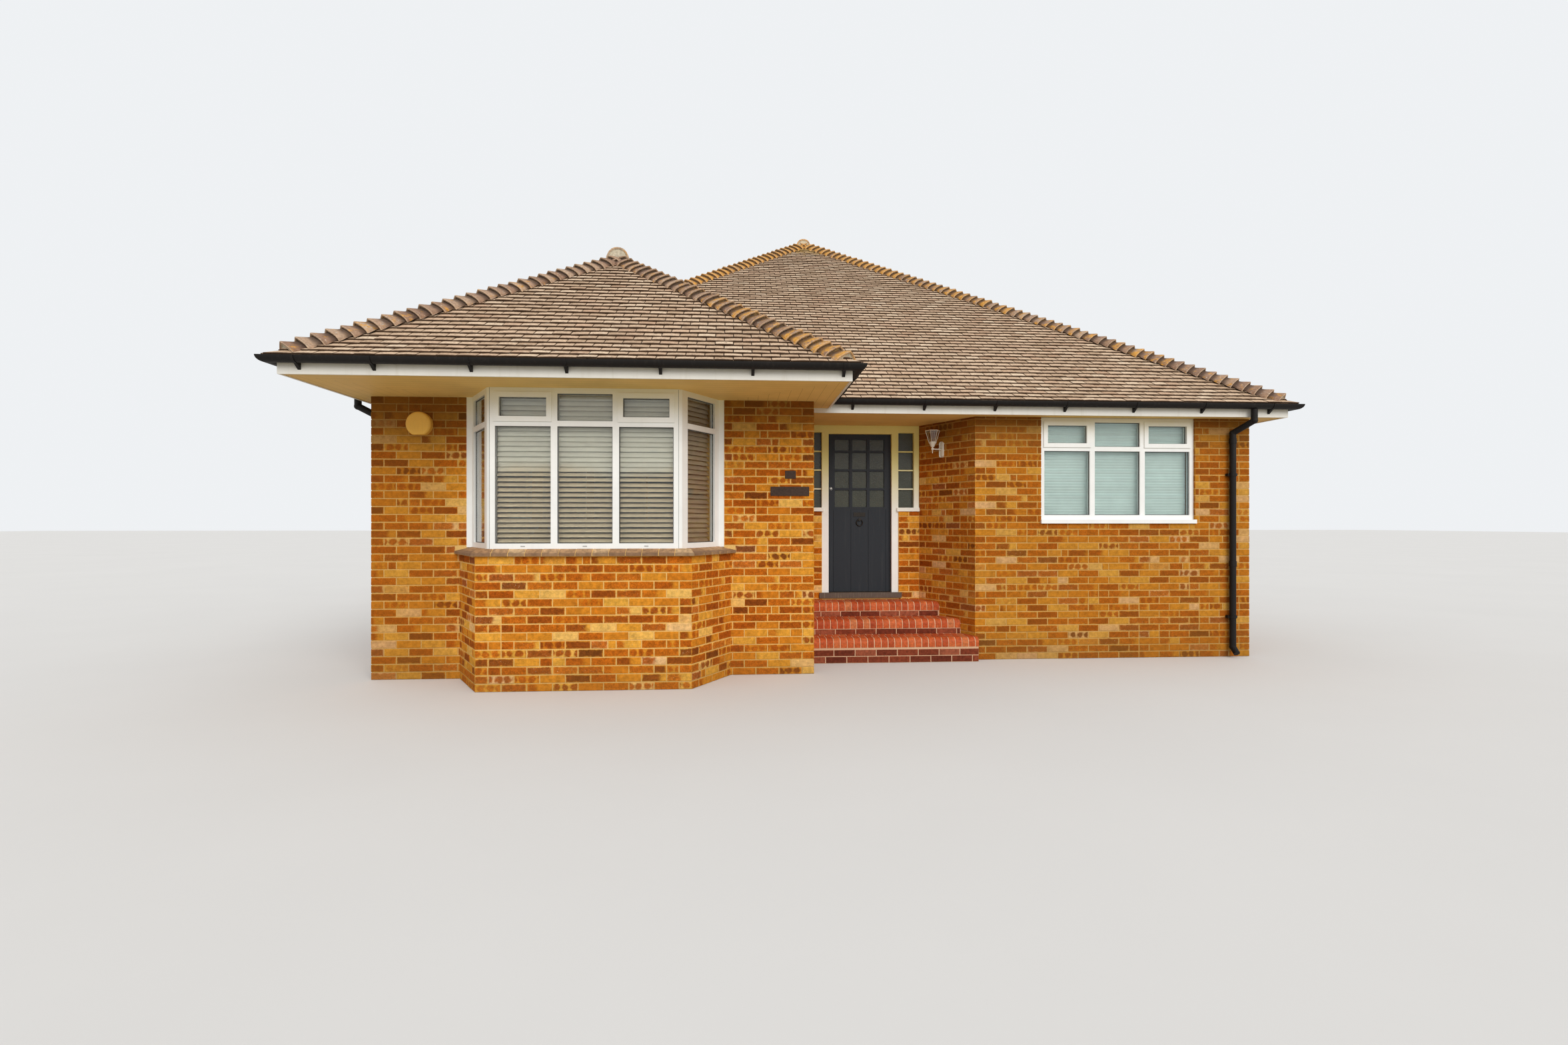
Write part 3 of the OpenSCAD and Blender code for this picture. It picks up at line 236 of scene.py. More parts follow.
mottle, source, result = group("Mottle", [("Colour", COLOUR, WHITE), ("Scale", FLOAT, 10.0),
                                          ("Amount", FLOAT, 0.2)], "Colour", COLOUR)
cloud = noise(mottle, source["Scale"], 5.0, 0.6)
bright = plus(mottle, 1.0, times(mottle, centred(mottle, cloud, source["Amount"]), 3.0))
tint = add(mottle, "CombineColor", links={0: bright, 1: bright, 2: bright}).outputs[0]
mottle.links.new(mix(mottle, 1.0, source["Colour"], tint, "MULTIPLY"), result)

grain, source, result = group("Grain", [("Scale", FLOAT, 200.0), ("Coarse", FLOAT, 30.0),
                                        ("Share", FLOAT, 0.4)], "Height", FLOAT)
fine = noise(grain, source["Scale"], 3.0, 0.6)
coarse = times(grain, noise(grain, source["Coarse"], 4.0, 0.55), source["Share"])
grain.links.new(plus(grain, fine, coarse), result)

weather, source, result = group("Weather", [("Colour", COLOUR, WHITE), ("Dirt", COLOUR, DIRT),
                                            ("Amount", FLOAT, 0.5), ("Reach", FLOAT, 0.4)], "Colour", COLOUR)
height = math_node(weather, "DIVIDE", parts_of(weather, place(weather))[2], source["Reach"])
low = span(weather, plus(weather, height, noise(weather, 2.5, 6.0, 0.65)), 1.5, 0.4)
spots = span(weather, noise(weather, 9.0, 5.0, 0.7), 0.62, 0.8)
low = math_node(weather, "MAXIMUM", low, times(weather, spots, 0.4))
low = math_node(weather, "MULTIPLY", low, source["Amount"], clamp=True)
weather.links.new(mix(weather, low, source["Colour"], source["Dirt"]), result)


# %% [markdown]
# A material is a Principled shader with a paint function for its colour and a relief function
# for its bump. Constants go straight on the shader's own sockets. The commonest paint is one
# colour that varies a little, and the commonest relief is grit over a coarser swell.
# %% Materials
def use(tree, effect, **inputs):
    """Places a group in a material; names of inputs are written in small letters."""
    node = tree.nodes.new("ShaderNodeGroup")
    node.node_tree = effect
    for key, value in inputs.items():
        socket = node.inputs[key.capitalize()]
        if isinstance(value, bpy.types.NodeSocket):
            tree.links.new(value, socket)
        else:
            socket.default_value = rgba(value) if socket.type == "RGBA" else value
    return node.outputs[0]


def mottled(colour, scale, amount):
    return lambda tree: use(tree, mottle, colour=colour, scale=scale, amount=amount)


def gritty(scale=500.0, coarse=8.0, share=0.5):
    return lambda tree: use(tree, grain, scale=scale, coarse=coarse, share=share)


def material(name, paint, relief=None, bump=0.001, **sockets):
    """A Principled material. paint(tree) gives its colour, relief(tree) its height in bump metres."""
    made = bpy.data.materials.new(name)
    made.use_nodes = True
    tree = made.node_tree
    shader = tree.nodes["Principled BSDF"]
    for key, value in sockets.items():
        shader.inputs[key.replace("_", " ")].default_value = value
    tree.links.new(paint(tree), shader.inputs["Base Color"])
    if relief:
        height = add(tree, "Bump", links={"Height": relief(tree), "Distance": bump, "Strength": 1.0})
        tree.links.new(height.outputs[0], shader.inputs["Normal"])
    print("Material", name)
    return made


def dress(finish, *names):
    """Gives CAD nodes or new pieces their material."""
    for name in names:
        mesh = (NODES.get(name) or bpy.data.objects[name]).data
        mesh.materials.clear()
        mesh.materials.append(finish)


# %% [markdown]
# ## Brick walls
# The walls are stretcher bond in mixed golden and red-brown facing bricks, four courses to
# about 313 mm. Each brick is a low block with softened arrises that stands 4 mm proud of the
# CAD wall, and the wall itself shows between them as the mortar. Every face of wall is set out
# in half bricks, so that the bond closes at both corners.
# %% Brick sizes
COURSE, FIRST_COURSE, JOINT = 0.07815, -0.0064, 0.010
HALF = 0.11825
PROUD, BURIED, ARRIS = 0.004, 0.002, 0.0028
SNAPPED, SNAPPED_IN_TWO, SNAP_AT = 0.07, 0.04, 0.68
LEAST = 0.012
SHAKEN, UNEVEN = 0.0007, 0.0006
print("Four courses", round(4 * COURSE, 4), "m, stretcher and joint", 2 * HALF, "m")


def split_by(cell, hole):
    """The parts of a brick that stay beside, below and above an opening."""
    u0, u1, v0, v1 = cell
    a0, a1, b0, b1 = hole
    if u1 <= a0 or u0 >= a1 or v1 <= b0 or v0 >= b1:
        return [cell]
    left, right = max(u0, a0), min(u1, a1)
    return [(u0, a0, v0, v1), (a1, u1, v0, v1), (left, right, v0, b0), (left, right, b1, v1)]


def bond(length, z0, z1, holes=(), phase=0, ends=(PROUD, PROUD)):
    """Cells u0, u1, v0, v1 of the bricks on one face of wall; a few are snapped in two."""
    half = length / max(1, round(length / HALF))
    cells = []
    course = math.floor((z0 - FIRST_COURSE) / COURSE)
    while FIRST_COURSE + course * COURSE + JOINT < z1:
        v0 = max(FIRST_COURSE + course * COURSE + JOINT / 2, z0)
        v1 = min(FIRST_COURSE + (course + 1) * COURSE - JOINT / 2, z1)
        edge = -half if (course + phase) % 2 else 0.0
        while edge < length - 0.01:
            u0 = edge + JOINT / 2 if edge > 0.01 else -ends[0]
            u1 = edge + 2 * half - JOINT / 2 if edge + 2 * half < length - 0.01 else length + ends[1]
            snap = dice.random()
            if snap < SNAPPED and u1 - u0 > 0.2:
                cut = u0 + (u1 - u0) * (0.5 if snap < SNAPPED_IN_TWO else SNAP_AT)
                cells += [(u0, cut - JOINT / 2, v0, v1), (cut + JOINT / 2, u1, v0, v1)]
            else:
                cells.append((u0, u1, v0, v1))
            edge += 2 * half
        course += 1
    for a0, a1, b0, b1 in holes:
        cells = [part for cell in cells for part in split_by(cell, (a0 + PROUD, a1 - PROUD, b0, b1))]
    return np.array([c for c in cells if c[1] - c[0] > LEAST and c[3] - c[2] > LEAST])


def brick_blocks(start, end, cells):
    """Corners, faces and stored values of the bricks of one face, which runs from start to end."""
    start, end = np.array(start, float), np.array(end, float)
    way = (end - start) / np.linalg.norm(end - start)
    out = np.array([way[1], -way[0]])
    n = len(cells)
    wobble = dice.normal(0, SHAKEN, (n, 4, 2))
    depth = PROUD + dice.normal(0, UNEVEN, n)
    rings = []
    for inset, level in ((0.0, np.full(n, -BURIED)), (0.0, depth - ARRIS * 0.7), (ARRIS, depth)):
        u0, u1, v0, v1 = (cells + [inset, -inset, inset, -inset]).T
        shift = wobble if inset else wobble * 0.8
        u, v = np.stack([u0, u1, u1, u0], 1), np.stack([v0, v0, v1, v1], 1)
        rings.append(np.stack([u + shift[..., 0], v + shift[..., 1], np.repeat(level[:, None], 4, 1)], 2))
    local = np.stack(rings, 1).reshape(n * 12, 3)
    flat = start + local[:, :1] * way + local[:, 2:] * out
    corners = np.column_stack([flat, np.maximum(local[:, 1], 0.0005)])
    sides = [[ring + i, ring + (i + 1) % 4, ring + 4 + (i + 1) % 4, ring + 4 + i] for ring in (0, 4)
             for i in range(4)]
    middle = np.stack([cells[:, :2].mean(1), cells[:, 2:].mean(1)], 1)
    widths = np.repeat(cells[:, 1] - cells[:, 0], 12)
    cell = np.column_stack([local[:, :2] - np.repeat(middle, 12, 0), widths])
    tone = np.repeat(dice.random((n, 4)), 12, 0)
    return corners, repeated(sides + [[8, 9, 10, 11]], n, 12), cell, tone


# %% [markdown]
# Openings are left out of the bond: windows with their sill boards, and the whole bay. The
# narrow returns into the window openings get bricks of their own, so the walls look as thick as
# they are. Every window is noted with its left end and its direction, for its blind and gaskets.
# %% Wall plan
WING_W, HOUSE_W, HOUSE_D, FRONT_Y = 4.39, 9.55, 11.6, 0.63
PORCH_Y, SPLAY_X, SPLAY_END = 1.46, 5.87, 6.30
PANEL_W, PANEL_Z = 0.2615, (0.59, 1.692)
WING_TOP, MAIN_TOP = 2.80, 2.756
SILL_Z, WINDOW_W, INSET, SILL_BOARD = 1.588, 1.835, 0.025, 0.045
FRONT_X = SPLAY_END + 0.54 * (HOUSE_W - SPLAY_END - WINDOW_W)
RIGHT_WINDOWS, REAR_WINDOWS, LEFT_WINDOWS = (2.3, 7.3), (1.3, 6.2), (3.4, 7.9)
BAY_PLAN = ((0.85, 0), (1.21, -0.604), (3.18, -0.604), (3.54, 0))
SILL_FOOT, SILL_HEAD = 1.244, 1.308
SILL_EARS, BAY_COVERS = (0.7976, 3.5924), (0.918, 3.478)
BAY_HOLES = [(0.85, 3.54, -1, SILL_FOOT), (*SILL_EARS, SILL_FOOT, SILL_HEAD), (*BAY_COVERS, SILL_HEAD, 4)]
MITRE_IN, MITRE_OUT, PANEL_IN, POST_IN = -0.004, 0.003, -0.006, -0.001
print("Front window from", round(FRONT_X, 3), "to", round(FRONT_X + WINDOW_W, 3), "m")


def returns(face_point, way, at):
    """The two narrow returns of a window opening, from the wall's face in to the frame."""
    inward = np.array([-way[1], way[0]])
    left = np.array(face_point, float) + way * at
    right = left + way * WINDOW_W
    made = []
    for corner, a, b in ((left, left, left + inward * INSET), (right, right + inward * INSET, right)):
        ends = [PROUD if end is corner else POST_IN for end in (a, b)]
        made.append((a, b, bond(INSET, SILL_Z, MAIN_TOP, phase=1, ends=ends)))
    return made


def outer_wall(start, end, top, windows, phase=0):
    """The stretches of one wall with windows at distances from its start."""
    run = np.subtract(end, start)
    length = np.linalg.norm(run)
    holes = [(at, at + WINDOW_W, SILL_Z - SILL_BOARD, MAIN_TOP + 0.1) for at in windows]
    made = [(start, end, bond(length, 0, top, holes, phase))]
    for at in windows:
        made += returns(start, run / length, at)
    return made


def plain_wall(start, end, z0, z1, **choices):
    """One stretch of wall from start to end."""
    return start, end, bond(round(math.dist(start, end), 4), z0, z1, **choices)


# %% [markdown]
# Each face of wall is a stretch from a start to an end, seen from outside with its start on the
# left. Walls that meet at a corner begin with opposite courses, as a real bond does, so every
# corner brick shows its long side on one wall and its short side on the other.
# %% Lay the walls
wall_faces = {
    "wing_front_bricks": [plain_wall((0, 0), (WING_W, 0), 0, WING_TOP, holes=BAY_HOLES)],
    "porch_bricks": [
        plain_wall((WING_W, 0), (WING_W, PORCH_Y), 0, MAIN_TOP, phase=1, ends=(PROUD, MITRE_IN)),
        plain_wall((WING_W, PORCH_Y), (WING_W + PANEL_W, PORCH_Y), *PANEL_Z, ends=(PANEL_IN, POST_IN)),
        plain_wall((SPLAY_X - PANEL_W, PORCH_Y), (SPLAY_X, PORCH_Y), *PANEL_Z, ends=(POST_IN, MITRE_IN)),
        plain_wall((SPLAY_X, PORCH_Y), (SPLAY_END, FRONT_Y), 0, MAIN_TOP, phase=1, ends=(MITRE_IN, PROUD))],
    "front_bricks": outer_wall((SPLAY_END, FRONT_Y), (HOUSE_W, FRONT_Y), MAIN_TOP, [FRONT_X - SPLAY_END]),
    "right_bricks": outer_wall((HOUSE_W, FRONT_Y), (HOUSE_W, HOUSE_D), MAIN_TOP,
                               [y - FRONT_Y for y in RIGHT_WINDOWS], 1),
    "rear_bricks": outer_wall((HOUSE_W, HOUSE_D), (0, HOUSE_D), MAIN_TOP,
                              [HOUSE_W - x - WINDOW_W for x in REAR_WINDOWS]),
    "left_bricks": outer_wall((0, HOUSE_D), (0, 0), WING_TOP,
                              [HOUSE_D - y - WINDOW_W for y in LEFT_WINDOWS], 1),
    "bay_bricks": [
        plain_wall(*BAY_PLAN[:2], 0, SILL_FOOT, phase=1, ends=(MITRE_IN, MITRE_OUT)),
        plain_wall(*BAY_PLAN[1:3], 0, SILL_FOOT, ends=(MITRE_OUT, MITRE_OUT)),
        plain_wall(*BAY_PLAN[2:], 0, SILL_FOOT, phase=1, ends=(MITRE_OUT, MITRE_IN))],
}
for name, stretches in wall_faces.items():
    joined(name, [brick_blocks(*stretch) for stretch in stretches], "brick")
FRONT_WINDOW = ((FRONT_X, FRONT_Y), (1, 0))
OTHER_WINDOWS = [((HOUSE_W, y), (0, 1)) for y in RIGHT_WINDOWS] \
    + [((0, y + WINDOW_W), (0, -1)) for y in LEFT_WINDOWS] \
    + [((x + WINDOW_W, HOUSE_D), (-1, 0)) for x in REAR_WINDOWS]


# %% [markdown]
# ## Brick and mortar finishes
# A batch of such bricks runs from straw yellow through orange to burnt brown. One stored random
# value picks the brick's own colour, another how hard the fire burnt it. Most burnt bricks are
# dark all over, some only at one end, and some have a row of round marks, where bricks leaned on
# each other in the kiln. Creases and grit come from noise. Mortar is sandy.
# %% Burnt bricks
MORTAR = (0.82, 0.53, 0.185)
BRICK_STOPS = [(0.0, (0.62, 0.20, 0.014)), (0.35, (0.68, 0.26, 0.022)), (0.6, (0.73, 0.32, 0.034)),
               (0.82, (0.80, 0.41, 0.060)), (0.92, (0.82, 0.48, 0.12)), (1.0, (0.85, 0.52, 0.24))]
FIRE_STOPS = [(0.0, (0.56, 0.160, 0.010)), (0.5, (0.50, 0.120, 0.007)), (0.75, (0.39, 0.080, 0.005)),
              (0.93, (0.27, 0.056, 0.006)), (1.0, (0.15, 0.036, 0.007))]
HALF_HEIGHT, MARK_GAP, MARK_DEEP = 0.034, 0.082, 0.028
MARKED_OVER, ENDED_OVER = 0.78, 0.60
print(len(BRICK_STOPS), "brick colours and", len(FIRE_STOPS), "burnt ones")


def eaves_and_end_shade(tree, colour, share):
    """Painted shade: darker under the eaves, and redder and darker towards both ends of the front."""
    across = parts_of(tree, place(tree))[0]
    # Painted shade towards both ends of the front
    ends = math_node(tree, "MAXIMUM", span(tree, across, -3.85, -4.25), span(tree, across, 0.8, 1.8))
    colour = mix(tree, times(tree, ends, 0.40 * share), colour, (0.26, 0.09, 0.008))
    # Painted shade under the eaves
    soot_and_eaves_shade = span(tree, height_in(tree, 1.8, 0.35, 4.0, 0.6), 2.15, 2.75, 0.0, 0.7 * share)
    return mix(tree, soot_and_eaves_shade, colour, (0.16, 0.07, 0.012))


def round_marks(tree, along, up, band):
    """How far a point lies inside the row of round marks; everywhere inside, if a brick has none."""
    row = plus(tree, math_node(tree, "DIVIDE", along, MARK_GAP), times(tree, band, 40.0))
    row = plus(tree, row, centred(tree, noise(tree, 9.0, 2.0, 0.5), 0.9))
    u = math_node(tree, "DIVIDE", minus(tree, math_node(tree, "FRACT", row), 0.5), 0.47)
    v = math_node(tree, "DIVIDE", up, 0.036)
    radius = math_node(tree, "SQRT", plus(tree, times(tree, u, u), times(tree, v, v)))
    without = minus(tree, 1.0, math_node(tree, "GREATER_THAN", band, MARKED_OVER))
    return plus(tree, times(tree, minus(tree, 1.0, radius), MARK_DEEP), without)


def one_end(tree, along, band):
    """0 on the pale part of the bricks that are burnt at one end, else 1."""
    chosen = times(tree, span(tree, band, ENDED_OVER, ENDED_OVER + 0.01),
                   span(tree, band, MARKED_OVER, MARKED_OVER - 0.01))
    border = plus(tree, along, times(tree, minus(tree, band, 0.69), 0.9))
    border = plus(tree, border, centred(tree, noise(tree, 24.0, 3.0), 0.06))
    return minus(tree, 1.0, times(tree, chosen, span(tree, border, -0.02, 0.03)))


def burnt(tree, kiln, band):
    """Where a brick is burnt: inside its arrises and its marks, if the kiln was hot enough."""
    along, up, width = cells_of(tree)
    beside = minus(tree, times(tree, width, 0.5), math_node(tree, "ABSOLUTE", along))
    above = minus(tree, HALF_HEIGHT, math_node(tree, "ABSOLUTE", up))
    edge = math_node(tree, "MINIMUM", beside, above)
    edge = math_node(tree, "MINIMUM", edge, round_marks(tree, along, up, band))
    edge = plus(tree, edge, centred(tree, noise(tree, 26.0, 4.0, 0.6), 0.032))
    mask = times(tree, span(tree, edge, -0.005, 0.011), span(tree, kiln, 0.22, 0.34, 0.0, 0.94))
    return times(tree, mask, one_end(tree, along, band))


# %% [markdown]
# The paint joins it all: the brick's own colour, the fire's colour where it is burnt, specks of
# lime on the pale ones, painted shade under the eaves and towards both ends of the front, and
# dirt. Mortar gets the same painted shade and dirt.
# %% Brick materials
def brick_paint(tree):
    pick, kiln, band = tones_of(tree)
    pick = math_node(tree, "ADD", pick, centred(tree, noise(tree, 0.55, 2.0, 0.5), 0.4), clamp=True)
    colour = ramp(tree, pick, BRICK_STOPS)
    fire = use(tree, mottle, colour=ramp(tree, kiln, FIRE_STOPS), scale=85.0, amount=0.6)
    colour = mix(tree, burnt(tree, kiln, band), colour, fire)
    lime = span(tree, noise(tree, 150.0, 2.0, 0.5), 0.68, 0.73, 0.0, 0.75)
    colour = mix(tree, times(tree, lime, span(tree, pick, 0.55, 0.8)), colour, (0.82, 0.66, 0.40))
    # Painted shade under the eaves and towards both ends of the front
    colour = eaves_and_end_shade(tree, use(tree, mottle, colour=colour, scale=30.0, amount=0.45), 1.0)
    return use(tree, weather, colour=colour, dirt=(0.20, 0.10, 0.02), amount=0.3, reach=0.45)


def brick_relief(tree):
    creases = noise(tree, 28.0, 6.0, 0.65, place(tree, (1.0, 1.0, 2.6)))
    return plus(tree, gritty(420.0, 90.0, 0.9)(tree), times(tree, creases, 1.6))


def mortar_paint(tree):
    # Painted shade under the eaves and towards both ends of the front, as on the bricks
    sandy = eaves_and_end_shade(tree, mottled(MORTAR, 160.0, 0.35)(tree), 0.8)
    return use(tree, weather, colour=sandy, dirt=(0.24, 0.14, 0.04), amount=0.45, reach=0.5)


brick = material("Facing brick", brick_paint, brick_relief, 0.0016, Roughness=0.9, Specular_IOR_Level=0.1)
mortar = material("Mortar", mortar_paint, gritty(380.0, 120.0, 0.8), 0.0012, Roughness=0.95,
                  Specular_IOR_Level=0.1)
plaster = material("Inside plaster", mottled((0.72, 0.70, 0.64), 3.0, 0.06), gritty(300.0, 40.0, 0.5), 0.0004,
                   Roughness=0.8)
dress(brick, *wall_faces)

# %% [markdown]
# The walls' CAD nodes are mortar outside and plaster inside. Each face is given one or the
# other by stepping a little way out from it: where that step ends in a room, it is plaster.
# %% Plaster inside
WALLS = ["wing_front_wall", "wing_right_wall", "left_wall", "rear_wall", "right_wall", "front_wall",
         "porch_splay_wall", "porch_panels", "porch_head_wall", "bay_base"]
ROOMS = [((0.28, 0.28), (4.11, 1.74)), ((0.28, 1.74), (9.27, 11.32)), ((6.4, 0.91), (9.27, 1.74)),
         ((1.0, -0.40), (3.4, -0.06)), ((0.92, 0.0), (3.47, 0.28))]
FLOOR_Z, CEILING_Z, STEP_OUT = 0.6, 2.84, 0.05
for name in WALLS:
    mesh = NODES[name].data
    dress(mortar, name)
    mesh.materials.append(plaster)
    for face in mesh.polygons:
        x, y, z = np.array(face.center + face.normal * STEP_OUT) - HOME
        inside = any(a[0] < x < b[0] and a[1] < y < b[1] for a, b in ROOMS)
        face.material_index = int(inside and FLOOR_Z < z < CEILING_Z)
    print(name, sum(face.material_index for face in mesh.polygons), "plastered faces")

# %% [markdown]
# ## Roof tiles
# Plain clay tiles, 165 mm wide, lie in courses about 99 mm apart. What shows of each is its
# lower part, so that is what is modelled: a slightly cambered plate with a rounded lower edge,
# which leans on the course below. Near the eaves the tiles kick up a little, over the gutter.
# %% Tile sizes
PITCH = math.radians(35.5)
WING_RUN, MAIN_RUN, LEFT_RUN = 2.42, 5.0784, 5.0166
TILE_W, TILE_T, TILE_GAP, CAMBER = 0.165, 0.0145, 0.0045, 0.0018
GAUGE = WING_RUN / math.cos(PITCH) / 30
LIFT, OVERHANG, HEAD_LAP, SHORTEST = 0.022, 0.072, 0.022, 0.02
KICK, KICK_LEN = 0.030, 0.55
SLIDE, TWIST, RAISED, LEAN = 0.0022, 0.0016, 0.0011, 0.0009
PROPPED, PROPPED_UP = 0.03, 0.004
ACROSS = 5
EDGE_H, EDGE_LEN = 0.0035, 0.0045
TILE_LEN = GAUGE + HEAD_LAP
TILE_ROWS = ((0.0, TILE_T), (0.0, EDGE_H), (EDGE_LEN, 0.0), (TILE_LEN, 0.0), (TILE_LEN, TILE_T))
print("Gauge", round(GAUGE, 4), "m")


def kick(s):
    return KICK * np.clip((KICK_LEN - s) / (KICK_LEN + OVERHANG), 0, 1) ** 2


# %% [markdown]
# One course is a grid of corners per tile, along the eaves (a), up the slope (s) and over the
# slab (h). Hips and valley are limits that depend on the plan distance from the eaves, and
# corners beyond them are drawn back onto them, so every course is cut exactly.
# %% Tile courses
def tile_course(course, left, right, top):
    """The tiles of one course as a grid of a, s and h; nothing where the course has run out."""
    s0 = -OVERHANG + max(course, 0) * GAUGE
    under = -TILE_T - 0.001 if course < 0 else 0.0
    d0, d1 = s0 * math.cos(PITCH), min((s0 + TILE_LEN) * math.cos(PITCH), top)
    if d1 - d0 < SHORTEST:
        return None
    start = math.floor((min(left(d0), left(d1)) - TILE_W) / TILE_W) * TILE_W
    offset = TILE_W / 2 if course % 2 else 0.0
    a0 = np.arange(start + offset, max(right(d0), right(d1)) + TILE_W, TILE_W)
    n = len(a0)
    slide, twist = dice.normal(0, SLIDE, n), dice.normal(0, TWIST, n)
    raised = dice.normal(0, RAISED, n) + (dice.random(n) < PROPPED) * PROPPED_UP
    lean = dice.normal(0, LEAN, n)
    share = np.linspace(0, 1, ACROSS)[None]
    grid = []
    for up, drop in TILE_ROWS:
        turned_by = twist[:, None] * (share - 0.5) * (up < GAUGE)
        s = np.minimum(s0 + up + (slide[:, None] + turned_by), top / math.cos(PITCH))
        d = s * math.cos(PITCH)
        a = a0[:, None] + TILE_GAP / 2 + (TILE_W - TILE_GAP) * share
        a = np.clip(a, np.vectorize(left)(d), np.vectorize(right)(d))
        bow = CAMBER * (1 - (2 * share - 1) ** 2)
        h = LIFT + under + kick(s) - TILE_T * (up / GAUGE) - drop + bow + raised[:, None] \
            + lean[:, None] * (2 * share - 1)
        grid.append(np.stack([a, s, h], 2))
    grid = np.stack(grid, 1)
    widths = grid[:, [0, 3], -1, 0] - grid[:, [0, 3], 0, 0]
    return grid[(widths > LEAST).any(1)]


def tile_slope(name, corner, way, eaves_z, left, right, top):
    """The tiles of one slope. left and right give its limits at a plan distance from the eaves."""
    corner, way = np.array(corner, float), np.array(way, float)
    inward = np.array([-way[1], way[0]])
    courses = [tile_course(course, left, right, top)
               for course in range(-1, int(round(top / math.cos(PITCH) / GAUGE)) + 1)]
    grid = np.concatenate([course for course in courses if course is not None])
    n, rows = len(grid), len(TILE_ROWS)
    a, s, h = [grid[..., i].reshape(-1) for i in range(3)]
    d = s * math.cos(PITCH) - h * math.sin(PITCH)
    z = eaves_z + s * math.sin(PITCH) + h * math.cos(PITCH)
    corners = np.column_stack([corner + a[:, None] * way + d[:, None] * inward, z])
    last = ACROSS - 1
    faces = strip_faces(rows - 1, ACROSS)
    faces += [[0, 2 * ACROSS, 3 * ACROSS, 4 * ACROSS],
              [last, 4 * ACROSS + last, 3 * ACROSS + last, 2 * ACROSS + last]]
    tone = np.repeat(dice.random((n, 4)), rows * ACROSS, 0)
    along = np.tile(np.repeat([0.0, 0.0, EDGE_LEN, GAUGE, GAUGE], ACROSS), n)
    side = np.tile(np.linspace(-0.5, 0.5, ACROSS) * TILE_W, rows * n)
    cell = np.column_stack([side, along, np.full(len(side), TILE_W)])
    return joined(name, [(corners, repeated(faces, n, rows * ACROSS), cell, tone)], "roof_tile")


# %% [markdown]
# The six slopes follow from the lines of the eaves. The wing's eaves are 44 mm higher than the
# main ones, which shifts the left slope and everything that meets it.
# %% Lay the tiles
EAVES_L, EAVES_R, EAVES_F, EAVES_B = -0.225, 9.87, 0.43, 11.92
WING_EAVES_R, WING_EAVES_F = 4.615, -1.10
WING_EAVES_Z, MAIN_EAVES_Z = 2.95, 2.906
TAN = math.tan(PITCH)
SHIFT = (WING_EAVES_Z - MAIN_EAVES_Z) / TAN
VALLEY_GAP, OVER_GUTTER = 0.012, -0.05
VALLEY_X = WING_EAVES_R + VALLEY_GAP
WING_WIDE, WING_DEEP = WING_EAVES_R - EAVES_L, EAVES_F - WING_EAVES_F
MAIN_WIDE, MAIN_DEEP, LEFT_DEEP = EAVES_R - EAVES_L, EAVES_B - EAVES_F, EAVES_B - WING_EAVES_F


def front_slope_left(d):
    """Along the wing's eaves, then the valley, then the hip over it."""
    if d < SHIFT:
        return VALLEY_X
    return VALLEY_X + SHIFT - d if d < WING_RUN + SHIFT else d + EAVES_L - SHIFT


def left_slope_right(d):
    """The wing's hip, and over the wing's ridge the main one."""
    return LEFT_DEEP - d if d <= WING_RUN else MAIN_DEEP - SHIFT - d


slopes = {
    "wing_front_tiles": ((EAVES_L, WING_EAVES_F), (1, 0), WING_EAVES_Z,
                         lambda d: d, lambda d: WING_WIDE - d, WING_RUN),
    "wing_right_tiles": ((WING_EAVES_R, WING_EAVES_F), (0, 1), WING_EAVES_Z,
                         lambda d: d, lambda d: WING_DEEP + SHIFT + d - VALLEY_GAP, WING_RUN),
    "left_tiles": ((EAVES_L, EAVES_B), (0, -1), WING_EAVES_Z,
                   lambda d: SHIFT + d, left_slope_right, LEFT_RUN),
    "front_tiles": ((0.0, EAVES_F), (1, 0), MAIN_EAVES_Z,
                    front_slope_left, lambda d: EAVES_R - d, MAIN_RUN),
    "right_tiles": ((EAVES_R, EAVES_F), (0, 1), MAIN_EAVES_Z,
                    lambda d: d, lambda d: MAIN_DEEP - d, MAIN_RUN),
    "rear_tiles": ((EAVES_R, EAVES_B), (-1, 0), MAIN_EAVES_Z,
                   lambda d: d, lambda d: MAIN_WIDE + SHIFT - max(d, OVER_GUTTER), MAIN_RUN),
}
for name, laid in slopes.items():
    tile_slope(name, *laid)

# %% [markdown]
# ## Tile finish
# The tiles have weathered from pink to tan, each a little differently. Lichen sits in pale
# spots, and gilds the top courses. Every lower edge and the joints between tiles are painted
# dark, as the shade under and between the tiles. The felt under the tiles is dark too.
# %% Tile materials
TILE_STOPS = [(0.0, (0.50, 0.345, 0.22)), (0.3, (0.59, 0.42, 0.28)), (0.7, (0.66, 0.475, 0.32)),
              (1.0, (0.75, 0.58, 0.41))]


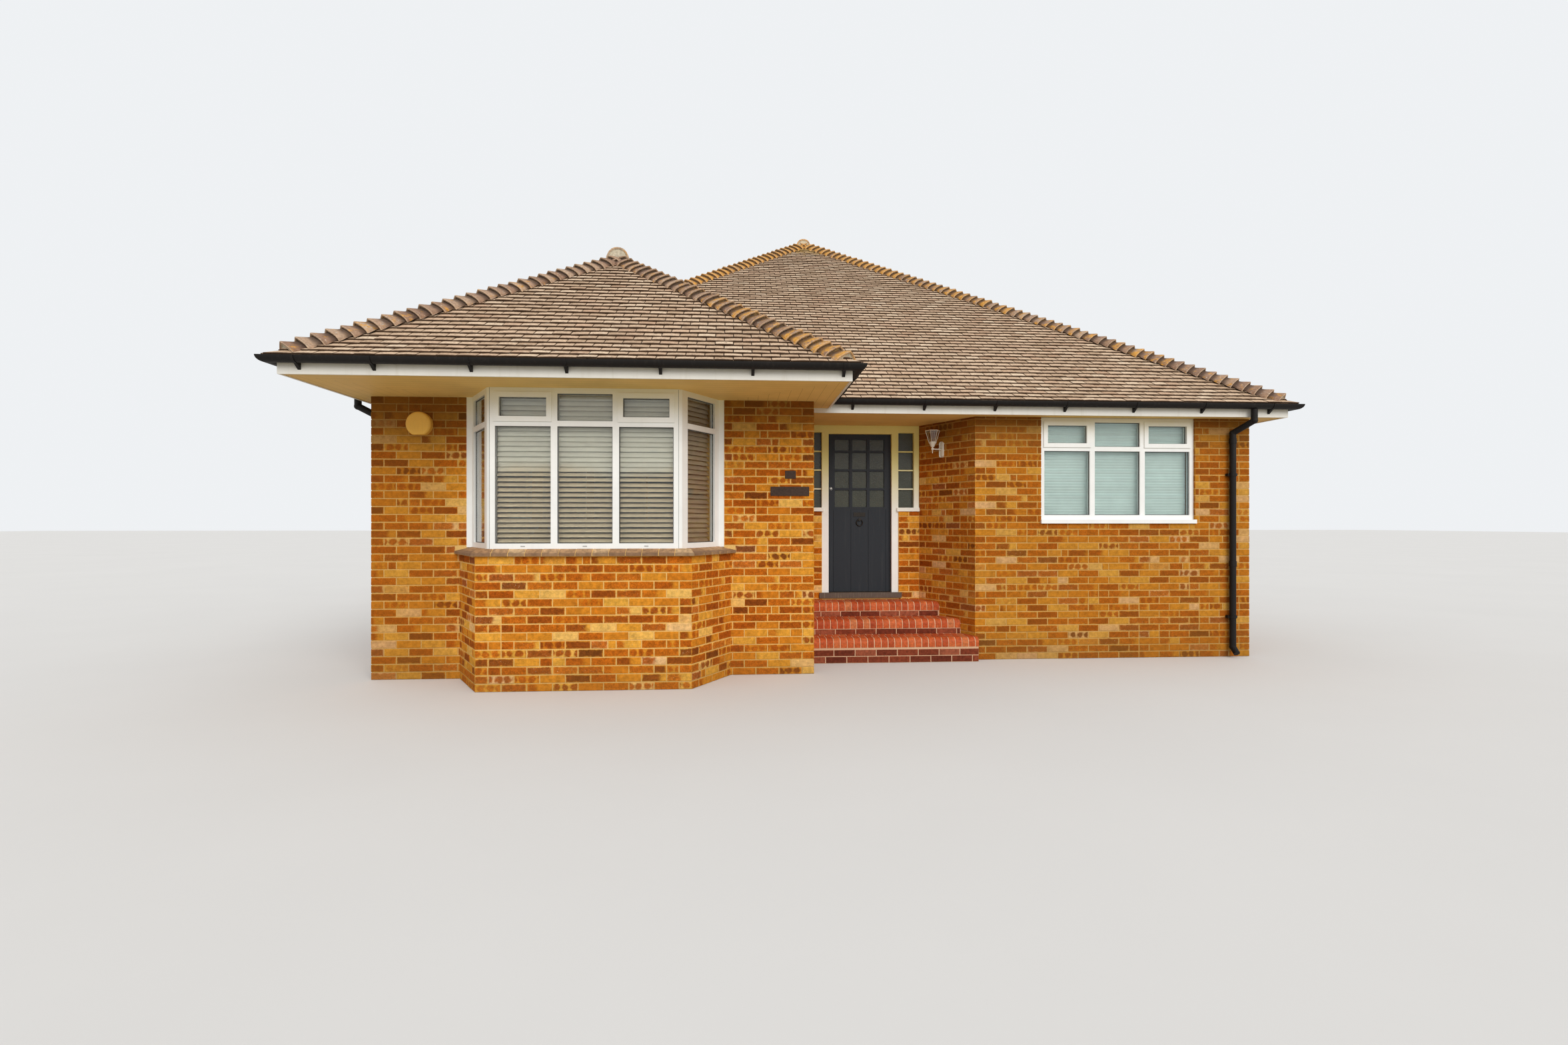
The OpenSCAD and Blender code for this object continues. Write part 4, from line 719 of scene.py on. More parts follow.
def tile_paint(tree):
    pick, other = tones_of(tree)[:2]
    side, along = cells_of(tree)[:2]
    colour = ramp(tree, pick, TILE_STOPS)
    colour = mix(tree, span(tree, other, 0.7, 1.0, 0.0, 0.35), colour, (0.50, 0.28, 0.17))
    # Painted shade along the lower edge of each tile
    edge = plus(tree, along, centred(tree, noise(tree, 60.0), 0.03))
    colour = mix(tree, span(tree, edge, 0.022, 0.0, 0.0, 0.65), colour, (0.12, 0.07, 0.045))
    gilded = span(tree, height_in(tree, 7.0, 0.7, 5.0, 0.7), 6.16, 6.34, 0.0, 0.8)
    colour = mix(tree, gilded, colour, (0.62, 0.38, 0.08))
    lichen = span(tree, noise(tree, 17.0, 6.0, 0.7), 0.61, 0.68)
    colour = mix(tree, times(tree, lichen, 0.7), colour, (0.70, 0.64, 0.52))
    soot_and_eaves_shade = span(tree, noise(tree, 21.0, 5.0, 0.65, place(tree, (1.0, 1.0, 1.6))), 0.60, 0.67, 0.0, 0.7)
    colour = mix(tree, soot_and_eaves_shade, colour, (0.16, 0.11, 0.08))
    stain = span(tree, noise(tree, 1.6, 4.0, 0.6), 0.5, 0.75, 0.0, 0.25)
    colour = mix(tree, stain, colour, (0.34, 0.24, 0.16))
    colour = use(tree, mottle, colour=colour, scale=45.0, amount=0.4)
    # Painted shadow in the joints between tiles
    joint = plus(tree, math_node(tree, "ABSOLUTE", side), centred(tree, noise(tree, 90.0), 0.006))
    colour = mix(tree, span(tree, joint, 0.0765, 0.0815, 0.0, 0.65), colour, (0.085, 0.045, 0.022))
    # Painted shade on the end face of each tile's tail
    return mix(tree, span(tree, along, 0.0060, 0.0032, 0.0, 0.92), colour, (0.050, 0.025, 0.012))


roof_tile = material("Clay roof tile", tile_paint, gritty(350.0, 70.0, 1.2), 0.0014, Roughness=0.86,
                     Specular_IOR_Level=0.25)
felt = material("Roofing felt", mottled((0.035, 0.03, 0.028), 30.0, 0.3), gritty(200.0, 20.0, 0.5), 0.001,
                Roughness=0.9)
dress(roof_tile, *slopes)
dress(felt, *[name.replace("tiles", "slope") for name in slopes])


# %% [markdown]
# ## Bonnet and ridge tiles
# A bonnet tile saddles the hip at every course: narrow at its head, under the next one, and
# wide and raised at its tail, where mortar fills it. The ridges have half-round tiles. One
# function makes both, as an arch that is drawn at the tail and at the head.
# %% Hip and ridge tiles
FALL = math.tan(math.radians(24.2))
ARCH = 12
BONNET = ((0.164, 0.066), (0.108, 0.012), FALL, 0.235)
WING_RIDGE = ((0.146, 0.140), (0.146, 0.140), 0.46, 0.44)
MAIN_RIDGE = ((0.138, 0.120), (0.138, 0.120), 0.46, 0.44)
ROUND = 3.0
SLIPPED, TWISTED, LIFTED, LICHEN_SPREAD = 0.003, 0.012, 0.002, 0.12
print("Bonnet tiles", 2 * BONNET[0][0], "m wide at their tails")


def barrels(foot, head, count, tail, crown, fall, length, lichen, curl=0.0):
    """Tiles along a line from foot to head. tail and crown are (half width, height) at both ends;
    lichen is how much grows on the first tile and on the last one; curl makes the arch round, and
    marks a ridge in the stored cell."""
    foot, head = np.array(foot, float), np.array(head, float)
    total = np.linalg.norm(head - foot)
    run = (head - foot) / total
    level = np.cross(run, (0, 0, 1))
    level /= np.linalg.norm(level)
    up = np.cross(level, run)
    angle = np.linspace(-math.pi / 2, math.pi / 2, ARCH + 1)
    middle = [0.45 * a + 0.55 * b for a, b in zip(tail, crown)]
    sections = [(0.012, tail, 0.030), (0.0, tail, 0.014), (0.0, tail, 0.002), (0.006, tail, 0.0),
                (length * 0.4, middle, 0.0), (length, crown, 0.0)]
    tiles = []
    for i in range(count):
        e0 = total * i / count + dice.normal(0, SLIPPED)
        twist, lift = dice.normal(0, TWISTED), dice.normal(0, LIFTED)
        lines = []
        for e, (w, h), thick in sections:
            side = (w - thick) * np.sin(angle)
            rise = -fall * np.abs(side) * np.abs(np.sin(angle)) ** curl
            rise = rise + (h - thick) * np.cos(angle) ** 0.8 + lift
            side = side + twist * rise
            lines.append(foot + run * min(e0 + e, total) + side[:, None] * level + rise[:, None] * up)
        tiles.append(np.stack(lines))
    grid = np.stack(tiles)
    n, rings, across = grid.shape[:3]
    ends = grid[:, 0, [0, -1]].mean(1)[:, None].repeat(across, 1)
    grid = np.concatenate([ends[:, None], grid], 1)
    rings += 1
    tone = dice.random((n, 4))
    tone[:, 1] = np.arange(n) == 0
    tone[:, 2] = np.linspace(*lichen, n) + dice.normal(0, LICHEN_SPREAD, n)
    tone = tone.clip(0, 1).repeat(rings * across, 0)
    along = np.tile(np.repeat([-1.0, -1.0, 0.0, 0.0, 0.006, length * 0.4, length], across), n)
    cell = np.column_stack([np.zeros(len(along)), along, np.full(len(along), float(curl > 0))])
    faces = repeated(strip_faces(rings, across), n, rings * across)
    return grid.reshape(-1, 3), faces, cell, tone


# %% [markdown]
# The lines of hips and ridges come from the slopes' corners. A ridge starts a little in front
# of its apex, so that its round end stands over the bonnets that meet there.
# %% Lay the bonnets and ridges
HIP_LIFT, HIP_FOOT_IN, HIP_FOOT_UP = 0.020, -0.03, 0.02
WING_APEX = (EAVES_L + WING_RUN, WING_EAVES_F + WING_RUN, WING_EAVES_Z + WING_RUN * TAN)
VALLEY_TOP = (WING_APEX[0], 2.9117, WING_APEX[2])
MAIN_APEX = (EAVES_R - MAIN_RUN, EAVES_F + MAIN_RUN, MAIN_EAVES_Z + MAIN_RUN * TAN)
REAR_APEX = (MAIN_APEX[0], EAVES_B - MAIN_RUN, MAIN_APEX[2])
WING_RIDGE_END = 2.95
BEYOND, SINK, MAIN_BEYOND, MAIN_SINK = 0.07, 0.006, 0.13, 0.048


def on_hip(x, y, z):
    """A point raised from the slab's hip line to the tiles'."""
    return x, y, z + HIP_LIFT


def hip_foot(x, y, z, out_x, out_y):
    """The foot of a hip at a corner of the eaves."""
    return on_hip(x + out_x * HIP_FOOT_IN, y + out_y * HIP_FOOT_IN, z - HIP_FOOT_IN * TAN + HIP_FOOT_UP)


def ridge_end(x, y, z, beyond=BEYOND, sink=SINK):
    return x, y - beyond, z - sink


hips = {
    "wing_bonnet_tiles": ("wing_hip_tiles", [
        (hip_foot(EAVES_L, WING_EAVES_F, WING_EAVES_Z, -1, -1), on_hip(*WING_APEX), 30, *BONNET,
         (0.05, 0.15)),
        (hip_foot(WING_EAVES_R, WING_EAVES_F, WING_EAVES_Z, 1, -1), on_hip(*WING_APEX), 30, *BONNET,
         (0.55, 0.12)),
        (ridge_end(*WING_APEX), on_hip(WING_APEX[0], WING_RIDGE_END, WING_APEX[2]), 4, *WING_RIDGE,
         (0.5, 0.3), ROUND)]),
    "main_bonnet_tiles": ("main_hip_tiles", [
        (on_hip(*VALLEY_TOP), on_hip(*MAIN_APEX), 32, *BONNET, (0.85, 0.75)),
        (hip_foot(EAVES_R, EAVES_F, MAIN_EAVES_Z, 1, -1), on_hip(*MAIN_APEX), 62, *BONNET, (0.15, 0.8))]),
    "rear_bonnet_tiles": ("rear_hip_tiles", [
        (hip_foot(EAVES_R, EAVES_B, MAIN_EAVES_Z, 1, 1), on_hip(*REAR_APEX), 62, *BONNET, (0.1, 0.4)),
        (hip_foot(EAVES_L, EAVES_B - SHIFT, WING_EAVES_Z, -1, 1), on_hip(*REAR_APEX), 62, *BONNET,
         (0.1, 0.4)),
        (ridge_end(*MAIN_APEX, MAIN_BEYOND, MAIN_SINK), ridge_end(*REAR_APEX, -MAIN_BEYOND, MAIN_SINK), 4,
         *MAIN_RIDGE, (0.7, 0.5), ROUND)]),
}
for name, (node, lines) in hips.items():
    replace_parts(joined(name, [barrels(*line) for line in lines], "hip_tile"), node)


# %% [markdown]
# Bonnets are darker than the tiles and carry much more lichen; the mortar in their open ends
# is a dull brown, and pale on the first tile of a line. The distance along each tile tells
# mortar from clay. A bonnet is painted dark where it slips under the next one, as that tile's
# shadow, and a ridge tile isn't. A lighter strip at each tail is a painted highlight.
# %% Bonnet finish
BONNET_STOPS = [(0.0, (0.27, 0.15, 0.09)), (0.6, (0.38, 0.235, 0.15)), (1.0, (0.47, 0.32, 0.21))]


def bonnet_paint(tree):
    pick, first, lichen = tones_of(tree)
    along, ridge = cells_of(tree)[1:]
    gold = plus(tree, noise(tree, 14.0, 6.0, 0.7), times(tree, lichen, 0.36))
    colour = ramp(tree, pick, BONNET_STOPS)
    colour = mix(tree, span(tree, gold, 0.60, 0.73, 0.0, 0.9), colour, (0.66, 0.31, 0.035))
    pale = span(tree, noise(tree, 30.0, 6.0, 0.7), 0.58, 0.66, 0.0, 0.7)
    colour = mix(tree, pale, colour, (0.62, 0.58, 0.48))
    # Painted shadow of the next tile, where a bonnet slips under it
    under_next_shadow = minus(tree, plus(tree, along, centred(tree, noise(tree, 20.0), 0.05)), ridge)
    colour = mix(tree, span(tree, under_next_shadow, 0.045, 0.115, 0.0, 0.85), colour, (0.06, 0.032, 0.020))
    # Painted highlight along the tail's lip
    colour = mix(tree, span(tree, along, 0.012, 0.004, 0.0, 0.4), colour, (0.66, 0.50, 0.34))
    bed = mottled((0.20, 0.14, 0.09), 60.0, 0.5)(tree)
    bed = mix(tree, span(tree, gold, 0.62, 0.74, 0.0, 0.8), bed, (0.46, 0.30, 0.10))
    bed = mix(tree, times(tree, first, 0.85), bed, (0.66, 0.60, 0.46))
    colour = mix(tree, span(tree, along, -0.3, -0.6), colour, bed)
    return use(tree, mottle, colour=colour, scale=40.0, amount=0.5)


bonnet = material("Weathered bonnet tile", bonnet_paint, gritty(300.0, 55.0, 1.4), 0.0018, Roughness=0.88)
dress(bonnet, *hips)

# %% [markdown]
# ## Finishes of the CAD pieces
# The joinery, the rainwater goods, the steps and the rest keep their CAD shapes. Each gets a
# finish at its own scale: brush marks in paint, boards in the soffit, streaks on plastic.
# %% Streaks and boards
def streaked(colour, dirt, scale=4.0, amount=0.12):
    """Paint or plastic with faint upright streaks and a little dirt."""
    def paint(tree):
        streak = noise(tree, scale * 6, 4.0, 0.6, place(tree, (1.0, 1.0, 0.08)))
        tone = mix(tree, span(tree, streak, 0.5, 0.8, 0.0, amount), colour, dirt)
        return use(tree, mottle, colour=tone, scale=scale, amount=0.06)
    return paint


def brushed(scale, detail, stretch):
    """A relief of long fibres or brush marks."""
    return lambda tree: noise(tree, scale, detail, 0.6, place(tree, stretch))


def boards(width, colour, seam, edges=None):
    """Boards with dark seams, along X, or parallel to the nearest of some edges (x0, x1, y0, y1)."""
    def paint(tree):
        x, y = parts_of(tree, place(tree))[:2]
        if edges:
            left, right, front, back = [edge + shift for edge, shift in zip(edges, np.repeat(HOME[:2], 2))]
            gaps = [minus(tree, *pair) for pair in ((x, left), (right, x), (y, front), (back, y))]
            y = gaps[0]
            for gap in gaps[1:]:
                y = math_node(tree, "MINIMUM", y, gap)
        part = math_node(tree, "FRACT", math_node(tree, "DIVIDE", y, width))
        gap = math_node(tree, "ABSOLUTE", minus(tree, part, 0.5))
        tone = mix(tree, span(tree, gap, 0.470, 0.492), colour, seam)
        return use(tree, mottle, colour=tone, scale=2.2, amount=0.12)
    return paint


def warm_light_above(low, high, colour, top, share):
    """Paint with faint upright streaks, painted yellow towards a height as warm bounced light."""
    def paint(tree):
        tone = streaked(colour, [0.7 * c for c in colour])(tree)
        # Painted warm light towards the top
        return mix(tree, span(tree, height_in(tree, 3.0, 0.25), low, high, 0.0, share), tone, top)
    return paint


print("Paints: streaked, boards and warm_light_above")

# %% [markdown]
# White plastic is painted yellow just under the soffit, and the door's white wood near its head:
# both are painted warm light, bounced there from the bricks. The fascia is painted darker along
# its upper edge, as dirt and the gutter's shade. The soffit's boards follow the nearest fascia,
# and their cream is painted ochre, as the same warm bounced light.
# %% Joinery
SOFFITS = {"wing_soffit": (EAVES_L, WING_EAVES_R, WING_EAVES_F, EAVES_B),
           "main_soffit": (-20.0, EAVES_R, EAVES_F, EAVES_B)}


def fascia_paint(tree):
    colour = streaked((0.88, 0.86, 0.80), (0.50, 0.44, 0.30), 3.0, 0.2)(tree)
    # Painted shade under the gutter, with dirt, along the fascia's upper edge
    dirt_and_gutter_shade = span(tree, height_in(tree, 6.0, 0.03), 2.99, 3.05, 0.0, 0.6)
    return mix(tree, dirt_and_gutter_shade, colour, (0.42, 0.33, 0.17))


# Painted warm light: yellower just under the soffit
white = material("White window plastic", warm_light_above(2.45, 2.85, (0.93, 0.94, 0.93), (0.82, 0.79, 0.48), 0.6),
                 gritty(), 0.0002, Roughness=0.32)
# Painted warm light: yellower towards the head of the door frame
joinery = material("White painted wood", warm_light_above(1.55, 2.45, (0.92, 0.93, 0.91), (0.92, 0.86, 0.28), 0.95),
                   brushed(60.0, 4.0, (6.0, 6.0, 0.3)), 0.0006, Roughness=0.45)
fascia = material("White fascia board", fascia_paint, gritty(), 0.0003, Roughness=0.42)
dress(white, "bay_frame", "front_window_frame", "side_window_frames")
dress(joinery, "door_frame")
dress(fascia, "wing_fascia", "main_fascia")
for name, edges in SOFFITS.items():
    # The boards' cream is painted ochre: warm light bounced from the bricks, in their colour
    cream = boards(0.1, (0.90, 0.63, 0.22), (0.62, 0.41, 0.14), edges)
    dress(material("Cream boards of the " + name.replace("_", " "), cream, gritty(300.0, 12.0), 0.0005,
                   Roughness=0.6, Specular_IOR_Level=0.15), name)

# %% [markdown]
# Black plastic, dark iron, an amber cover and two dark plates follow, and three kinds of glass
# and rubber for the windows. Window glass lets light through; the obscured glass scatters a
# little of it, and its dark colour is painted shade, that of the dark hall behind it.
# %% Plastic, metal and glass
gutter = material("Black gutter plastic", streaked((0.010, 0.008, 0.007), (0.05, 0.04, 0.035), 6.0, 0.3),
                  gritty(), 0.0003, Roughness=0.55, Specular_IOR_Level=0.2)
iron = material("Dark iron", mottled((0.03, 0.026, 0.022), 90.0, 0.6), gritty(600.0, 60.0), 0.0005,
                Roughness=0.45, Metallic=0.8)
lantern = material("Cream lantern paint", streaked((0.87, 0.85, 0.76), (0.45, 0.38, 0.26), 20.0, 0.25),
                   gritty(700.0, 50.0), 0.0003, Roughness=0.42)
alarm = material("Amber alarm cover", streaked((0.95, 0.56, 0.11), (0.60, 0.30, 0.04), 9.0, 0.25),
                 gritty(900.0, 20.0), 0.0002, Roughness=0.42, Specular_IOR_Level=0.2)
slate = material("Dark name plate", mottled((0.055, 0.030, 0.020), 60.0, 0.5), gritty(500.0, 70.0), 0.0005,
                 Roughness=0.5, Specular_IOR_Level=0.2)
glass = material("Window glass", mottled((0.93, 0.96, 0.95), 1.5, 0.02), lambda tree: noise(tree, 1.3, 2.0),
                 0.0012, Roughness=0.02, Transmission_Weight=1.0, IOR=1.45)
# Painted shade: the dark hall behind the door, in the glass's colour and low transmission
frosted = material("Obscured glass", mottled((0.080, 0.086, 0.056), 7.0, 0.3),
                   lambda tree: noise(tree, 70.0, 3.0, 0.5), 0.0016, Roughness=0.25,
                   Transmission_Weight=0.35, IOR=1.45)
rubber = material("Black gasket", mottled((0.03, 0.032, 0.033), 30.0, 0.4), gritty(), 0.0003, Roughness=0.6)
dress(gutter, "wing_gutter", "main_gutter", "left_downpipe", "right_downpipe")
dress(iron, "door_fittings")
dress(alarm, "alarm_box")
dress(slate, "wall_plates")
dress(glass, "bay_glass", "front_window_glass", "side_window_glass")
dress(frosted, "sidelight_glass", "door_glass")

# %% [markdown]
# The door's paint is worn near its foot, and the threshold is bare, streaked wood. The floor
# has wide boards, and the ceiling has the plaster of the walls.
# %% Door, threshold, floor and ceiling
def door_colour(tree):
    colour = streaked((0.019, 0.023, 0.030), (0.040, 0.045, 0.05), 3.0, 0.5)(tree)
    low = span(tree, parts_of(tree, place(tree))[2], 0.72, 0.63)
    worn = times(tree, low, span(tree, noise(tree, 20.0, 5.0, 0.7), 0.58, 0.66))
    return mix(tree, worn, colour, (0.16, 0.12, 0.09))


door_paint = material("Blue-black door paint", door_colour, brushed(80.0, 4.0, (8.0, 8.0, 0.3)), 0.0006,
                      Roughness=0.45, Specular_IOR_Level=0.25)
sill_wood = material("Worn threshold wood", streaked((0.095, 0.065, 0.045), (0.27, 0.21, 0.15), 9.0, 0.7),
                     brushed(30.0, 5.0, (0.3, 6.0, 6.0)), 0.001, Roughness=0.5)
floorboards = material("Floorboards", boards(0.12, (0.30, 0.18, 0.09), (0.06, 0.035, 0.02)),
                       brushed(12.0, 5.0, (0.2, 3.0, 3.0)), 0.001, Roughness=0.4)
dress(door_paint, "front_door")
dress(sill_wood, "threshold")
dress(floorboards, "floor")
dress(plaster, "ceiling")

# %% [markdown]
# ## Steps and the bay's sill
# The treads end in bullnose bricks on edge, 76 mm apart, with a course of dark stretchers below
# each nose. The sill under the bay is laid in sloping clay tiles that meet in a mitre at its
# corners. All of these are blocks that follow a profile, so one function lays them: it takes
# the profile's outer skin and the bed behind it, and the places where each block starts and ends.
# %% Blocks along a profile
BLOCK_PROFILE = 6
BLOCK_SHIFT, BLOCK_PROUD, SOFT_EDGE, NARROWEST = 0.0006, 0.12, 0.65, 0.015
print("Corners across a block:", BLOCK_PROFILE)


def swept_blocks(start, way, cells, skin, bed, limits):
    """Blocks with softened arrises; skin and bed are lists of (outward distance, height)."""
    start, way = np.array(start, float), np.array(way, float)
    out = np.array([way[1], -way[0]])
    skin, bed = np.array(skin), np.array(bed)
    n, rows = len(cells), len(skin)
    u0 = cells[:, :1] + dice.normal(0, BLOCK_SHIFT, (n, 1))
    u1 = cells[:, 1:] + dice.normal(0, BLOCK_SHIFT, (n, 1))
    proud = 1 + dice.normal(0, BLOCK_PROUD, (n, 1, 1))
    edges = ((u0, 0.0), (u0, SOFT_EDGE), (u0 + ARRIS, 1.0), (u1 - ARRIS, 1.0), (u1, SOFT_EDGE), (u1, 0.0))
    columns = []
    for u, share in edges:
        line = bed[None] + (skin - bed)[None] * (share * proud)
        low, high = limits(line[..., 0])
        columns.append(np.dstack([np.clip(u + 0 * line[..., 0], low, high), line]))
    grid = np.stack(columns, 2)
    grid = grid[(grid[:, :, 3, 0] - grid[:, :, 2, 0]).max(1) > NARROWEST]
    n = len(grid)
    u, o, z = [grid[..., k].reshape(-1) for k in range(3)]
    corners = np.column_stack([start + u[:, None] * way + o[:, None] * out, z])
    top = (rows - 1) * BLOCK_PROFILE
    faces = strip_faces(rows, BLOCK_PROFILE) + [[0, 5, 4, 1], [1, 4, 3, 2]]
    faces += [[top, top + 1, top + 4, top + 5], [top + 1, top + 2, top + 3, top + 4]]
    run = np.concatenate([[0], np.cumsum(np.linalg.norm(np.diff(skin, axis=0), axis=1))])
    middle = grid[..., 0].mean((1, 2), keepdims=True)
    along = np.broadcast_to((run - run[-1] / 2)[None, :, None], grid.shape[:3])
    cell = np.stack([grid[..., 0] - middle, along, np.full(grid.shape[:3], run[-1])], 3).reshape(-1, 3)
    tone = np.repeat(dice.random((n, 4)), rows * BLOCK_PROFILE, 0)
    return corners, repeated(faces, n, rows * BLOCK_PROFILE), cell, tone


# %% [markdown]
# Each step has a nose of bricks on edge, a strip of tread behind it, and stretchers below, and
# the splayed wall cuts them all at their right end. They could be grooves in one solid step, but
# single blocks keep soft edges, small shifts and colours of their own.
# %% Step bricks
STEP_FRONTS, STEP_TOPS, RISE, GOING = (1.14, 0.828, 0.516), (0.600, 0.434, 0.268), 0.166, 0.312
NOSE_H, NOSE_R, NOSE_MODULE, NOSE_LEN = 0.098, 0.055, 0.076, 0.205
STEP_PROUD, STEP_BED = 0.004, -0.002
STEP_LEFT, STEP_RIGHT = 4.397, 6.31
STRETCHER, BED_JOINT, HEAD_JOINT = 0.236, 0.009, 0.010
LOWEST_COURSES = [(0.004, 0.070), (0.079, 0.145)]
print("Rise", RISE, "m, going", GOING, "m")
TREAD_ENDS = (-NOSE_LEN - BED_JOINT, -GOING + 0.006)


def splay_x(y):
    """The face of the splayed wall at a depth, less the bricks' own thickness."""
    share = (PORCH_Y - y) / (PORCH_Y - FRONT_Y)
    return np.where(y < FRONT_Y, SPLAY_END + 0.003, SPLAY_X + (SPLAY_END - SPLAY_X) * share - 0.006)


def between_walls(front):
    return lambda out: (STEP_LEFT, splay_x(front - out))


def nose(top, by):
    """Profile of a nose and its tread, moved outwards by a little."""
    radius = NOSE_R + by
    curve = [(-NOSE_R + radius * math.cos(a), top - NOSE_R + radius * math.sin(a))
             for a in np.linspace(0, math.pi / 2, 7)]
    return [(by, top - NOSE_H)] + curve + [(-NOSE_LEN, top + by)]


def row(first, last, module, gap, shift):
    edges = np.arange(first - shift, last, module)
    return np.column_stack([edges + gap / 2, edges + module - gap / 2])


def riser(front, low, high):
    """One course of stretchers under a nose."""
    right = float(splay_x(front))
    ends = row(STEP_LEFT, right, STRETCHER, HEAD_JOINT, dice.uniform(0.02, 0.2))
    ends = np.clip(ends, STEP_LEFT, right - 0.004)
    ends = ends[ends[:, 1] - ends[:, 0] > NARROWEST]
    cells = np.column_stack([ends, np.full(len(ends), low), np.full(len(ends), high)])
    return brick_blocks((0, front), (SPLAY_END, front), cells)


# %% [markdown]
# The bricks are laid from the top step down, and every row starts at a place of its own. Where
# the lowest step ends, a narrow cheek of three courses turns back to the front wall.
# %% Lay the steps
step_parts, riser_parts = [], []
for front, top in zip(STEP_FRONTS, STEP_TOPS):
    cells = row(STEP_LEFT, STEP_RIGHT, NOSE_MODULE, BED_JOINT, dice.uniform(0, 0.04))
    noses = [nose(top, by) for by in (STEP_PROUD, STEP_BED)]
    tread = [[(out, top + by) for out in TREAD_ENDS] for by in (STEP_PROUD, STEP_BED)]
    limits = between_walls(front)
    step_parts.append(swept_blocks((0, front), (1, 0), cells, *noses, limits))
    step_parts.append(swept_blocks((0, front), (1, 0), cells + 0.03, *tread, limits))
    lowest = front == STEP_FRONTS[-1]
    courses = LOWEST_COURSES if lowest else [(top - RISE + 0.004, top - NOSE_H - 0.008)]
    riser_parts += [riser(front, *course) for course in courses]
cheek = np.array([(0.008, 0.108, *course) for course in (*LOWEST_COURSES, (0.155, 0.208))])
riser_parts.append(brick_blocks((SPLAY_END, STEP_FRONTS[-1]), (SPLAY_END, FRONT_Y), cheek))
joined("step_nose_bricks", step_parts, "step_brick")
joined("step_riser_bricks", riser_parts, "step_brick")

# %% [markdown]
# The sill has three straight stretches along the bay's plan. Their inner edges follow the frame,
# and their ends are cut by limits that depend on the outward distance, which makes the mitres.
# %% Lay the sill
SILL_OUT, SILL_EDGE, FRAME_IN, CANT_IN = 0.045, 0.025, 0.020, 0.097
MITRE, SQUARE, SILL_TILE, SILL_JOINT = 0.568, 0.596, 0.152, 0.005
SILL_ENDS = ((-SQUARE, MITRE), (-MITRE, MITRE), (-MITRE, SQUARE))


def sill_profile(inset, by):
    return [(SILL_OUT + by, SILL_FOOT + 0.002), (SILL_OUT + by, SILL_FOOT + SILL_EDGE + by * 0.5),
            (SILL_OUT + by * 0.3, SILL_FOOT + SILL_EDGE + by), (-inset + 0.001, SILL_HEAD + by)]


def mitred(length, ends):
    return lambda out: (ends[0] * out + 0.002, length + ends[1] * out - 0.002)


def sill_stretch(start, end, inset, ends):
    """The tiles of one straight stretch of the sill."""
    length = math.dist(start, end)
    edges = np.linspace(0, length, round(length / SILL_TILE) + 1)
    edges[0], edges[-1] = -0.08, length + 0.08
    cells = np.column_stack([edges[:-1] + SILL_JOINT / 2, edges[1:] - SILL_JOINT / 2])
    skin, bed = sill_profile(inset, 0.003), sill_profile(inset, -0.002)
    return swept_blocks(start, np.subtract(end, start) / length, cells, skin, bed, mitred(length, ends))


sill_sides = zip(BAY_PLAN[:3], BAY_PLAN[1:], (CANT_IN, FRAME_IN, CANT_IN), SILL_ENDS)
joined("bay_sill_tiles", [sill_stretch(*side) for side in sill_sides], "sill_tile")


# %% [markdown]
# The noses are a clean red, the stretchers below them dark, and the sill's tiles brown with a
# darker outer edge. Pinkish mortar shows between the bricks of the steps.
# %% Step and sill finishes
NOSE_STOPS = [(0.0, (0.38, 0.058, 0.014)), (0.5, (0.50, 0.085, 0.020)), (0.85, (0.58, 0.13, 0.036)),
              (1.0, (0.52, 0.17, 0.06))]
RISER_STOPS = [(0.0, (0.13, 0.026, 0.013)), (0.6, (0.23, 0.048, 0.021)), (1.0, (0.32, 0.09, 0.045))]
SILL_STOPS = [(0.0, (0.33, 0.18, 0.085)), (0.6, (0.44, 0.26, 0.13)), (1.0, (0.52, 0.35, 0.19))]


def step_paint(tree):
    colour = ramp(tree, tones_of(tree)[0], NOSE_STOPS)
    bright = span(tree, noise(tree, 7.0, 5.0, 0.6), 0.5, 0.75, 0.0, 0.5)
    colour = mix(tree, bright, colour, (0.64, 0.19, 0.055))
    return use(tree, mottle, colour=colour, scale=38.0, amount=0.5)


def riser_paint(tree):
    return use(tree, mottle, colour=ramp(tree, tones_of(tree)[0], RISER_STOPS), scale=30.0, amount=0.6)


def sill_paint(tree):
    colour = use(tree, mottle, colour=ramp(tree, tones_of(tree)[0], SILL_STOPS), scale=24.0, amount=0.7)
    edge = plus(tree, cells_of(tree)[1], centred(tree, noise(tree, 30.0), 0.02))
    return mix(tree, span(tree, edge, 0.0, -0.03, 0.0, 0.6), colour, (0.17, 0.10, 0.06))


step_brick = material("Red step brick", step_paint, gritty(350.0, 60.0, 0.9), 0.0012, Roughness=0.55,
                      Specular_IOR_Level=0.2)
riser_brick = material("Dark red stretcher", riser_paint, gritty(350.0, 60.0, 0.9), 0.0012, Roughness=0.75,
                       Specular_IOR_Level=0.1)
sill_tile = material("Clay sill tile", sill_paint, gritty(300.0, 40.0, 1.0), 0.0014, Roughness=0.8)
pink_mortar = material("Pinkish mortar", mottled((0.68, 0.42, 0.26), 140.0, 0.3), gritty(380.0, 110.0, 0.8),
                       0.0012, Roughness=0.95)
dress(step_brick, "step_nose_bricks")
dress(riser_brick, "step_riser_bricks")
dress(sill_tile, "bay_sill_tiles")
dress(pink_mortar, "step_top", "step_middle", "step_bottom")
dress(mortar, "bay_sill")

